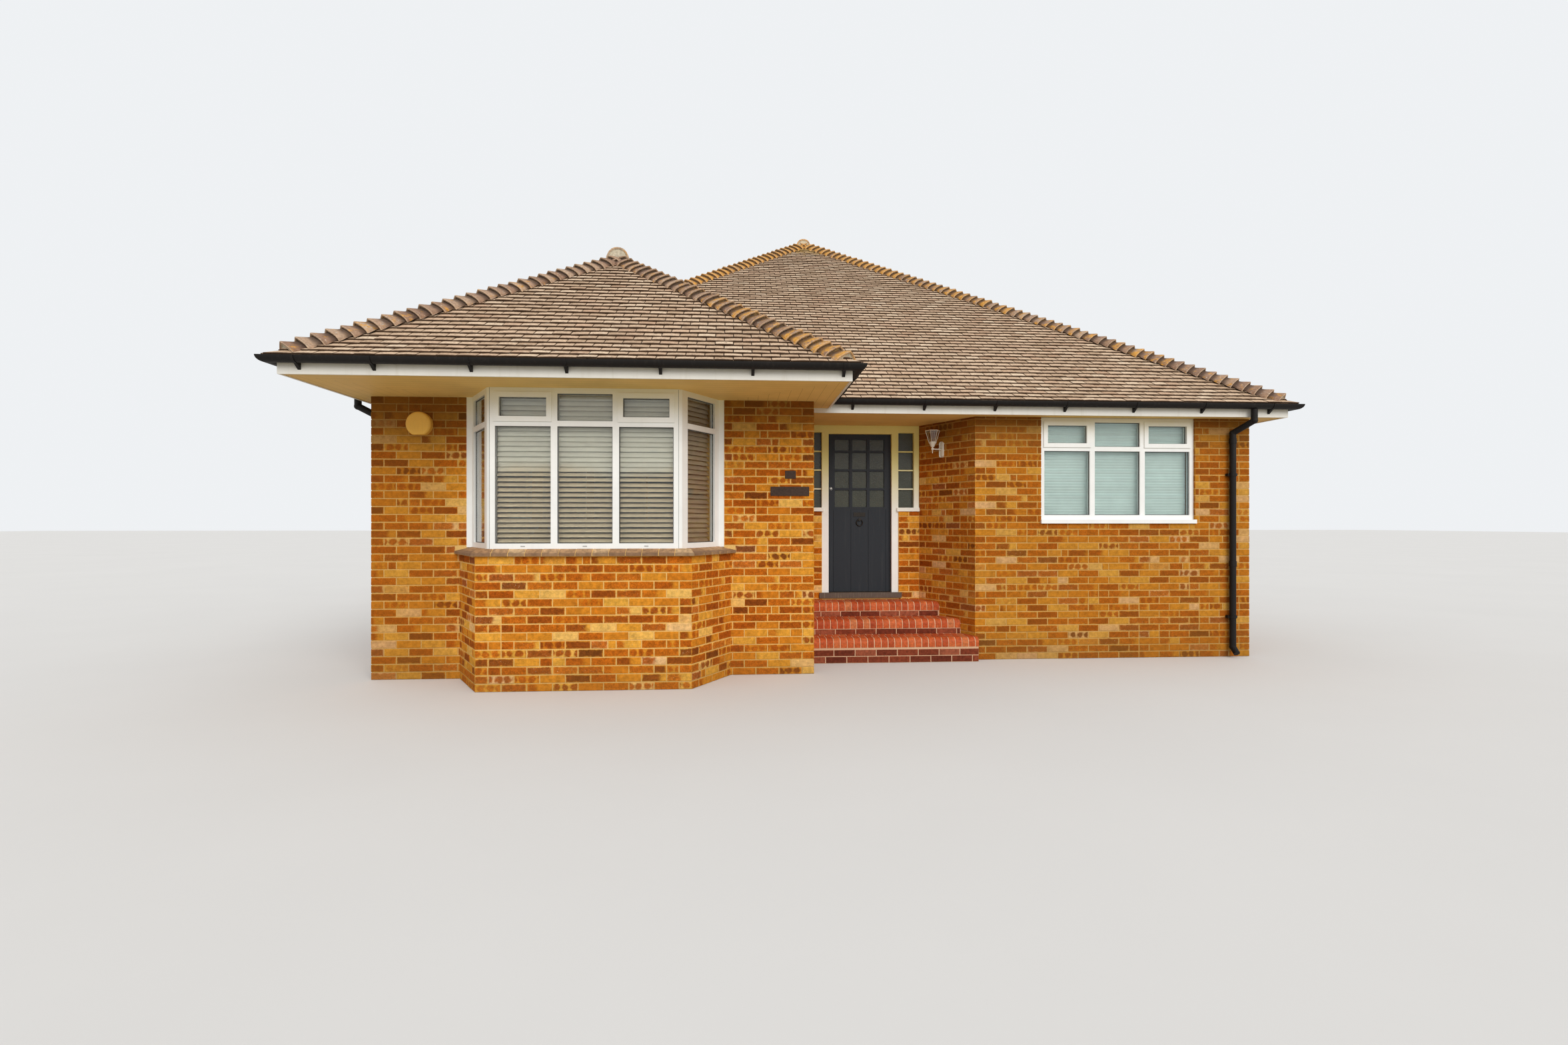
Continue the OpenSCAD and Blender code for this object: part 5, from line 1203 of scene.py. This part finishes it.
# %% [markdown]
# ## Blinds, gaskets and seams
# Slatted blinds hang behind the bay and every other window. A picture of slats would look flat
# behind the glass, so each is a slightly curved lath with its own small turn and droop. In the
# bay the upper ones are nearly shut, and the lower ones stand open and show dark gaps.
# %% Slats
LATH_T, LATH_CAMBER, HEAD_GAP = 0.003, 0.004, 0.03
TURNED, DROOP = 0.02, 0.0012
print("Laths", LATH_T, "m thick")


def blind_slats(start, end, z0, z1, pitch, width, shut, open_below, ajar=0.62):
    """Laths along a line, shut above a height and turned to a share of that below it."""
    start, end = np.array(start, float), np.array(end, float)
    length = np.linalg.norm(end - start)
    way = (end - start) / length
    out = np.array([way[1], -way[0]])
    heights = np.arange(z0 + pitch / 2, z1 - HEAD_GAP, pitch)
    n = len(heights)
    turn = (np.where(heights > open_below, shut, shut * ajar) + dice.normal(0, TURNED, n))[:, None]
    across = (np.linspace(-0.5, 0.5, 5) * width)[None]
    camber = LATH_CAMBER * (1 - (2 * across / width) ** 2)
    rings = []
    for lift in (LATH_T / 2, -LATH_T / 2):
        outward = across * np.cos(turn) + (camber + lift) * np.sin(turn)
        upward = -across * np.sin(turn) + (camber + lift) * np.cos(turn)
        rings.append(np.stack([outward, upward], 2))
    ring = np.concatenate([rings[0], rings[1][:, ::-1]], 1)
    droop = dice.normal(0, DROOP, (n, 2))
    sides = []
    for side, u in enumerate((0.0, length)):
        flat = start + u * way + ring[..., :1] * out
        sides.append(np.dstack([flat, heights[:, None] + ring[..., 1] + droop[:, side:side + 1]]))
    corners = np.stack(sides, 1).reshape(-1, 3)
    m = ring.shape[1]
    faces = [[i, (i + 1) % m, m + (i + 1) % m, m + i] for i in range(m)]
    faces += [[i, m - 1 - i, m - 2 - i, i + 1] for i in range(4)]
    faces += [[m + i, m + i + 1, 2 * m - 2 - i, 2 * m - 1 - i] for i in range(4)]
    tone = np.repeat(dice.random((n, 4)), 2 * m, 0)
    return corners, repeated(faces, n, 2 * m), np.zeros((len(corners), 3)), tone


def bars(origin, way, boxes):
    """Small straight bars; each box is u0, u1, outward 0 and 1, z0, z1 from an origin."""
    way = np.array(way, float)
    out = np.array([way[1], -way[0]])
    u0, u1, o0, o1, z0, z1 = np.array(boxes, float).T
    outline = ((u0, o1), (u1, o1), (u1, o0), (u0, o0))
    grid = np.stack([np.column_stack([u, o, z]) for z in (z0, z1) for u, o in outline], 1)
    u, o, z = [grid[..., k].reshape(-1) for k in range(3)]
    corners = np.column_stack([np.array(origin, float) + u[:, None] * way + o[:, None] * out, z])
    faces = [[0, 1, 5, 4], [1, 2, 6, 5], [2, 3, 7, 6], [3, 0, 4, 7], [4, 5, 6, 7], [3, 2, 1, 0]]
    tone = np.repeat(dice.random((len(boxes), 4)), 8, 0)
    return corners, repeated(faces, len(boxes), 8), np.zeros((len(corners), 3)), tone


# %% [markdown]
# The bay's blinds stand a little inside its frame, so the frame's plan gives their ends: half
# the bay's width at a depth, less an inset that follows its canted sides. The other windows
# share one blind, set out from the window's left end.
# %% Hang the blinds
BAY_MID, BAY_DEEP, CANT = 2.195, 0.604, math.atan2(0.36, 0.604)
FRAME_W, MULLION, FRAME_D, LIGHT_W, BAY_POST = 0.052, 0.060, 0.070, 0.038, 0.068
SLAT_IN = FRAME_IN + FRAME_D + 0.012 + 0.026
BLIND_FRONT, BLIND_END, BLIND_TURN = FRAME_IN + FRAME_D + 0.030 - BAY_DEEP, 0.29, 0.03
BLIND_IN, BLIND_UP = 0.025, 0.05
BAY_SLATS = (1.36, WING_TOP, 0.0477, 0.050)
BAY_FRONT_TURN = (math.radians(72), 2.02, 0.62)
BAY_SIDE_TURN = (math.radians(68), 2.30, 0.9)
WINDOW_SLATS = (SILL_Z + BLIND_UP, MAIN_TOP, 0.032, 0.036, math.radians(87), 0.0)


def bay_half(inset, y):
    return 1.345 - inset / math.cos(CANT) + y * math.tan(CANT)


def inside_window(origin, way, along, depth):
    """A point in a window, along it from its left end and inwards from the wall's face."""
    way = np.array(way, float)
    return np.array(origin, float) + way * along + np.array([-way[1], way[0]]) * depth


def window_blind(origin, way):
    depth = INSET + FRAME_D + BLIND_IN
    ends = [inside_window(origin, way, along, depth) for along in (FRAME_W, WINDOW_W - FRAME_W)]
    return blind_slats(*ends, *WINDOW_SLATS)


half, back_half = [bay_half(CANT_IN - FRAME_IN + SLAT_IN, y) for y in (BLIND_FRONT, BLIND_END)]
turned_at = BLIND_FRONT + BLIND_TURN
front_ends = [(BAY_MID + side * half, BLIND_FRONT) for side in (-1, 1)]
left_ends = [(BAY_MID - back_half, BLIND_END), (BAY_MID - half, turned_at)]
right_ends = [(BAY_MID + half, turned_at), (BAY_MID + back_half, BLIND_END)]
pale = [blind_slats(*front_ends, *BAY_SLATS, *BAY_FRONT_TURN)]
warm = [blind_slats(*ends, *BAY_SLATS, *BAY_SIDE_TURN) for ends in (left_ends, right_ends)]
for share in (1 / 6, 1 / 2, 5 / 6):
    at = BAY_MID - half + 2 * half * share
    pale.append(bars((at, BLIND_FRONT), (1, 0), [(-0.001, 0.001, 0.0265, 0.0285, 1.37, 2.78)]))
bay_blind = joined("bay_blind_slats", pale, "blind")
joined("bay_side_slats", warm, "blind")
joined("front_window_slats", [window_blind(*FRONT_WINDOW)], "blind")
joined("side_window_slats", [window_blind(*window) for window in OTHER_WINDOWS], "blind")
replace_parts(bay_blind, "window_blinds")


# %% [markdown]
# The bay's slats are pale over a height and warmer under it. Those of the other windows have one
# colour.
# %% Slat finish
def slat_paint(base, low, split):
    """Pale slats above, warmer ones below a height."""
    def paint(tree):
        height = height_in(tree, 1.5, 0.35, 2.0)
        tone = mix(tree, span(tree, height, split - 0.08, split + 0.08), low, base)
        tone = mix(tree, span(tree, tones_of(tree)[0], 0.0, 1.0, 0.0, 0.12), tone, (0.30, 0.24, 0.17))
        return use(tree, mottle, colour=tone, scale=5.0, amount=0.1)
    return paint


bay_slat = material("Bay blind slats", slat_paint((0.82, 0.76, 0.62), (0.78, 0.62, 0.41), 2.05), gritty(),
                    0.0003, Roughness=0.45)
side_slat = material("Side blind slats", slat_paint((0.50, 0.40, 0.28), (0.46, 0.34, 0.22), 2.05), gritty(),
                     0.0003, Roughness=0.5)
window_slat = material("Window blind slats", slat_paint((0.70, 0.86, 0.81), (0.70, 0.86, 0.81), 0.0),
                       gritty(), 0.0003, Roughness=0.5)
dress(bay_slat, "bay_blind_slats")
dress(side_slat, "bay_side_slats")
dress(window_slat, "front_window_slats", "side_window_slats")


# %% [markdown]
# Round each pane runs a thin black gasket, made as four bars on the glass. The panes of a window
# follow from its width, its height and its transom; opening lights are smaller by their own
# frame.
# %% Panes and gaskets
WINDOW_H, WINDOW_TRANSOM = MAIN_TOP - SILL_Z, 2.400 - SILL_Z
BAY_H, BAY_TRANSOM = WING_TOP - SILL_HEAD, 2.470 - SILL_HEAD
GASKET_IN, GASKET_W, GASKET_T = 0.025, 0.006, 0.004
CANT_NEAR, CANT_FAR = 0.090, 0.112
SEAM_AT, SEAM_W, SEAM_PROUD, SEAM_BACK, SEAM_Z = 0.019, 0.0025, 0.0006, -0.002, 0.004
print("Window", round(WINDOW_H, 3), "m high, bay frame", round(BAY_H, 3), "m")


def pane_boxes(width, height, transom, post):
    """Panes of a window as u0, u1, z0, z1 from the frame's lower left corner."""
    pane_w = (width - 2 * post - 2 * MULLION) / 3
    panes = []
    for i in range(3):
        for upper in (False, True):
            inset = LIGHT_W if upper and i != 1 else 0.0
            u = post + i * (pane_w + MULLION)
            z0, z1 = (transom + FRAME_W / 2, height - FRAME_W) if upper else (FRAME_W, transom - FRAME_W / 2)
            panes.append((u + inset, u + pane_w - inset, z0 + inset, z1 - inset))
    return panes


def gaskets(origin, way, z, panes):
    """Four thin bars round every pane, on the glass's outer face."""
    boxes = []
    for u0, u1, z0, z1 in panes:
        sides = [(u0, u1, z0, z0 + GASKET_W), (u0, u1, z1 - GASKET_W, z1)]
        sides += [(u0, u0 + GASKET_W, z0, z1), (u1 - GASKET_W, u1, z0, z1)]
        boxes += [(a, b, -GASKET_IN, -GASKET_IN + GASKET_T, z + c, z + d) for a, b, c, d in sides]
    return bars(origin, way, boxes)


def window_gaskets(origin, way):
    panes = pane_boxes(WINDOW_W, WINDOW_H, WINDOW_TRANSOM, FRAME_W)
    return gaskets(inside_window(origin, way, 0, INSET), way, SILL_Z, panes)


# %% [markdown]
# The bay has three panes in front and one in each canted side, in two rows. Two dark seams show
# where its front meets the corner posts.
# %% Lay the gaskets
corner = bay_half(CANT_IN, FRAME_IN - BAY_DEEP)
bay_corner, bay_back = (BAY_MID - corner, FRAME_IN - BAY_DEEP), bay_half(CANT_IN, 0)
cant = math.hypot(bay_back - corner, BAY_DEEP - FRAME_IN)
left_way, right_way = (math.sin(CANT), -math.cos(CANT)), (math.sin(CANT), math.cos(CANT))
sealed = [window_gaskets(*FRONT_WINDOW),
          gaskets(bay_corner, (1, 0), SILL_HEAD, pane_boxes(2 * corner, BAY_H, BAY_TRANSOM, BAY_POST))]
sealed += [window_gaskets(*window) for window in OTHER_WINDOWS]
for z0, z1 in ((FRAME_W, BAY_TRANSOM - FRAME_W / 2), (BAY_TRANSOM + FRAME_W / 2, BAY_H - FRAME_W)):
    left_pane, right_pane = (CANT_NEAR, cant - CANT_FAR, z0, z1), (CANT_FAR, cant - CANT_NEAR, z0, z1)
    sealed.append(gaskets((BAY_MID - bay_back, 0), left_way, SILL_HEAD, [left_pane]))
    sealed.append(gaskets((BAY_MID + corner, FRAME_IN - BAY_DEEP), right_way, SILL_HEAD, [right_pane]))
for u in (SEAM_AT, 2 * corner - SEAM_AT - SEAM_W):
    seam = (u, u + SEAM_W, SEAM_BACK, SEAM_PROUD, SILL_HEAD + SEAM_Z, SILL_HEAD + BAY_H - SEAM_Z)
    sealed.append(bars(bay_corner, (1, 0), [seam]))
joined("window_gaskets", sealed, "white_frame")
dress(rubber, "window_gaskets")

# %% [markdown]
# ## Porch lantern
# The lantern is a six-sided cage of thin bars round glass, on a turned cup, ball and pin, and is
# carried by an arm from an oblong wall plate. Turned parts start as a ring that is extruded and
# scaled along a profile; the cage is a six-sided ring whose edges a Wireframe modifier makes
# into bars.
# %% Turned parts
def edit_on(piece):
    bpy.ops.object.select_all(action="DESELECT")
    bpy.context.view_layer.objects.active = piece
    piece.select_set(True)
    bpy.ops.object.mode_set(mode="EDIT")
    bpy.ops.mesh.select_all(action="SELECT")


def edit_off():
    bpy.ops.mesh.select_all(action="SELECT")
    bpy.ops.mesh.remove_doubles(threshold=0.00005)
    bpy.ops.mesh.normals_make_consistent(inside=False)
    bpy.ops.object.mode_set(mode="OBJECT")


def named(name):
    """Names the new piece, and makes its place and size its mesh's own."""
    piece = bpy.context.object
    piece.name = name
    bpy.ops.object.transform_apply(location=True, rotation=True, scale=True)
    return piece


def turned(name, profile, vertices=24, close=True):
    """A piece turned about Z: a ring is extruded and scaled from one (radius, height) to the next."""
    bpy.ops.object.select_all(action="DESELECT")
    radius, height = profile[0]
    bpy.ops.mesh.primitive_circle_add(vertices=vertices, radius=radius, location=(0, 0, height),
                                      fill_type="NGON" if close else "NOTHING")
    piece = named(name)
    edit_on(piece)
    for new_radius, new_height in profile[1:]:
        bpy.ops.mesh.extrude_region_move(TRANSFORM_OT_translate={"value": (0, 0, new_height - height)})
        bpy.ops.transform.resize(value=(new_radius / radius,) * 2 + (1,), center_override=(0, 0, new_height))
        radius, height = new_radius, new_height
    edit_off()
    return piece


def box(name, size, where=(0, 0, 0)):
    bpy.ops.object.select_all(action="DESELECT")
    bpy.ops.mesh.primitive_cube_add(size=1, location=where, scale=size)
    return named(name)


print("Pieces are turned or cut from a box")

# %% [markdown]
# A new piece is finished in two steps: its modifiers are applied and it is shaded smooth by
# angle, and then it is turned, moved into place, and given its material and body.
# %% Placing pieces
def finish_piece(piece, modifiers=(), smooth=35):
    """Applies modifiers given as (kind, settings), then smooths by angle."""
    bpy.ops.object.select_all(action="DESELECT")
    bpy.context.view_layer.objects.active = piece
    piece.select_set(True)
    for kind, settings in modifiers:
        modifier = piece.modifiers.new(kind.title(), kind)
        for key, value in settings.items():
            setattr(modifier, key, value)
        bpy.ops.object.modifier_apply(modifier=modifier.name)
    bpy.ops.object.shade_smooth_by_angle(angle=math.radians(smooth))
    return piece


def put(piece, where, turn, finish, body="house", tilt=0.0):
    """Tilts a piece about X, turns it about Z, moves it to a place in house metres, and finishes it."""
    moved = Matrix.Translation(at_home(where)) @ Matrix.Rotation(turn, 4, "Z") @ Matrix.Rotation(tilt, 4, "X")
    piece.data.transform(moved)
    piece.data.update()
    piece.data.materials.clear()
    piece.data.materials.append(finish)
    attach(piece, body)
    print(piece.name, len(piece.data.polygons), "faces")
    return piece


# %% [markdown]
# Three small grey caps cover the drain slots in the lower rail of the bay's frame, one in the
# middle of each pane.
# %% Drain caps
CAP_SIZE = (0.040, 0.007, 0.010)
PANE_STEP = (2 * corner - 2 * BAY_POST + MULLION) / 3
grey = material("Grey drain cap", mottled((0.42, 0.42, 0.41), 60.0, 0.4), gritty(), 0.0002, Roughness=0.5)
for number in range(3):
    cap = box("bay_drain_cap_" + str(number + 1), CAP_SIZE)
    finish_piece(cap, [("BEVEL", {"width": 0.002, "segments": 2})])
    where = (BAY_MID + (number - 1) * PANE_STEP, FRAME_IN - BAY_DEEP, SILL_HEAD + FRAME_W / 2)
    put(cap, where, 0, grey)

# %% [markdown]
# The lantern's parts are turned at its own middle and then hung on the splayed wall, turned to
# face away from it. The cage, its rim, its glass and its lid have six sides.
# %% Lantern
LANTERN_AT, LANTERN_WALL, ARM_LEN = (5.9165, 1.0223, 2.425), (6.0586, 1.0959, 2.425), 0.158
LANTERN_TURN = math.atan2(LANTERN_AT[1] - LANTERN_WALL[1], LANTERN_AT[0] - LANTERN_WALL[0])
BALL_R = 0.017
BALL = [(BALL_R * math.sin(a), -BALL_R * math.cos(a)) for a in np.linspace(0.35, math.pi - 0.45, 10)]
PIN = [(0.003, -0.050), (0.006, -0.047), (0.004, -0.036), (0.004, -0.018)]
CUP = [(0.009, 0.020), (0.020, 0.024), (0.022, 0.030), (0.030, 0.050), (0.045, 0.074), (0.047, 0.079),
       (0.040, 0.080)]
CAGE, PANES = [(0.044, 0.083), (0.083, 0.214)], [(0.043, 0.083), (0.081, 0.213)]
RIM = [(0.079, 0.211), (0.086, 0.211), (0.088, 0.216), (0.086, 0.2195), (0.079, 0.2195), (0.079, 0.211)]
LID = [(0.082, 0.213), (0.080, 0.2165), (0.040, 0.2185), (0.004, 0.2195)]
CAGE_BARS = [("WIREFRAME", {"thickness": 0.009, "use_boundary": True, "use_even_offset": False}),
             ("BEVEL", {"width": 0.0012, "segments": 1})]
PANE_SHEET = [("SOLIDIFY", {"thickness": 0.002})]


def hang(piece, finish, where=LANTERN_AT, modifiers=(), smooth=35, turn=LANTERN_TURN):
    """Finishes one part of the lantern and puts it in its place."""
    return put(finish_piece(piece, modifiers, smooth), where, turn, finish)


finial = hang(turned("lantern_cup", PIN + BALL + CUP), lantern, turn=0)
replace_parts(finial, "wall_lantern")
hang(turned("lantern_cage", CAGE, 6, False), lantern, modifiers=CAGE_BARS, smooth=20)
hang(turned("lantern_rim", RIM, 6, False), lantern, smooth=20)
hang(turned("lantern_glass", PANES, 6, False), glass, modifiers=PANE_SHEET, smooth=20)
hang(turned("lantern_lid", LID, 6), glass, smooth=20)

# %% [markdown]
# A straight arm and a bent strut join the lantern to its plate. The strut is turned upright and
# its corners are then moved along a bow. The plate is a box whose four long edges are rounded.
# %% Lantern arm and plate
STRUT, STRUT_LEN = [(0.006, 0.0), (0.0055, 0.03), (0.005, 0.06), (0.005, 0.09), (0.006, 0.115)], 0.115
PLATE_SIZE, PLATE_ROUND = (0.022, 0.060, 0.190), 0.0298
ARM_EDGES = [("BEVEL", {"width": 0.0015, "segments": 2})]
PLATE_EDGES = [("BEVEL", {"width": 0.003, "segments": 2, "angle_limit": math.radians(60)})]
bpy.ops.object.select_all(action="DESELECT")
bpy.ops.mesh.primitive_cylinder_add(vertices=16, radius=0.007, depth=ARM_LEN - 0.02,
                                    rotation=(0, math.pi / 2, 0), location=(ARM_LEN / 2, 0, 0))
hang(named("lantern_arm"), lantern, LANTERN_WALL, ARM_EDGES)
strut = turned("lantern_strut", STRUT, 12)
for vertex in strut.data.vertices:
    share = vertex.co.z / STRUT_LEN
    vertex.co.x += ARM_LEN - 0.012 - 0.128 * share
    vertex.co.z = vertex.co.z * 0.42 - 0.004 - 0.022 * math.sin(math.pi * share)
hang(strut, lantern, LANTERN_WALL)
plate = box("lantern_plate", PLATE_SIZE, (PLATE_SIZE[0] / 2, 0, 0))
edit_on(plate)
bpy.ops.mesh.select_all(action="DESELECT")
bpy.ops.object.mode_set(mode="OBJECT")
for edge in plate.data.edges:
    ends = [plate.data.vertices[k].co for k in edge.vertices]
    edge.select = abs(ends[0].x - ends[1].x) > 0.01
bpy.ops.object.mode_set(mode="EDIT")
bpy.ops.mesh.bevel(offset=PLATE_ROUND, segments=8, affect="EDGES")
edit_off()
hang(plate, lantern, LANTERN_WALL, PLATE_EDGES)

# %% [markdown]
# The door's round lock is a turned rose with a smaller cylinder in it. It rides with the leaf.
# %% Door lock
ROSE = [(0.019, -0.002), (0.019, 0.005), (0.0175, 0.008), (0.011, 0.009), (0.0105, 0.0085), (0.0085, 0.0085),
        (0.008, 0.012), (0.006, 0.0125)]
LOCK_AT = (4.7715, 1.526, 1.974)
steel = material("Bright steel", mottled((0.86, 0.85, 0.82), 60.0, 0.1), gritty(700.0, 80.0), 0.0001,
                 Roughness=0.35, Metallic=0.5)
lock = turned("door_lock", ROSE, 32)
put(finish_piece(lock), LOCK_AT, 0, steel, "front_door", math.radians(90))

# %% [markdown]
# ## Floor, light and camera
# The house stands on a plain pale floor before an even pale backdrop, as in a very large studio,
# with one wide soft lamp from the upper left. Floor and backdrop are brighter to the camera than
# to the light that bounces, so that the walls aren't lit too strongly from below.
# %% Studio
bpy.ops.object.select_all(action="DESELECT")
bpy.ops.mesh.primitive_grid_add(x_subdivisions=8, y_subdivisions=8, size=260, location=(0, 0, -0.002))
floor = bpy.context.object
floor.name = "studio_floor"


def eye_rays(tree):
    """1 for what the camera sees, also by way of glass and metal, and 0 for bounced light."""
    paths = add(tree, "LightPath").outputs
    seen = math_node(tree, "MAXIMUM", paths["Is Camera Ray"], paths["Is Glossy Ray"])
    return math_node(tree, "MAXIMUM", seen, paths["Is Transmission Ray"])


def floor_paint(tree):
    """Pale to the eye; darker and browner to the light that bounces from it."""
    pale = mottled((0.72, 0.71, 0.69), 0.4, 0.02)(tree)
    return mix(tree, minus(tree, 1.0, eye_rays(tree)), pale, (0.40, 0.36, 0.28))


floor.data.materials.append(material("Studio floor", floor_paint, Roughness=0.9, Specular_IOR_Level=0.1))

world = bpy.data.worlds.new("Studio dome")
bpy.context.scene.world = world
world.use_nodes = True
tree = world.node_tree
tree.nodes.clear()
backdrop = add(tree, "Background", links={"Color": (0.86, 0.88, 0.90, 1.0), "Strength": 1.0})
dome = add(tree, "Background", links={"Color": (0.96, 0.975, 1.0, 1.0), "Strength": 0.78})
both = add(tree, "MixShader", links={0: eye_rays(tree), 1: dome.outputs[0], 2: backdrop.outputs[0]})
tree.links.new(both.outputs[0], add(tree, "OutputWorld").inputs["Surface"])

lamp = bpy.data.lights.new("Soft key", "SUN")
lamp.energy = 1.7
lamp.angle = math.radians(40)
lamp.color = (1.0, 0.97, 0.92)
key = bpy.data.objects.new("Soft key", lamp)
key.rotation_euler = (math.radians(57), 0, math.radians(18))
bpy.context.collection.objects.link(key)

# %% [markdown]
# The camera stands at eye level 7.4 m before the wing, turned 3.8 degrees to the right. Its lens
# is wide: the photograph is 2353 pixels wide, and its focal length comes to 1078.6 of them.
# %% Camera
EYE, EYE_TURN = (3.593, -7.359, 1.554), -3.823
SENSOR, FOCAL_PIXELS, PHOTO_WIDTH = 36.0, 1078.6, 2353
view = bpy.data.cameras.new("Photo view")
view.sensor_width = SENSOR
view.lens = SENSOR * FOCAL_PIXELS / PHOTO_WIDTH
camera = bpy.data.objects.new("Photo view", view)
camera.location = at_home(EYE)
camera.rotation_euler = (math.radians(90), 0, math.radians(EYE_TURN))
bpy.context.collection.objects.link(camera)
bpy.context.scene.camera = camera
bpy.context.scene.view_settings.view_transform = "Standard"
print("Lens", round(view.lens, 2), "mm")

bpy.context.view_layer.update()
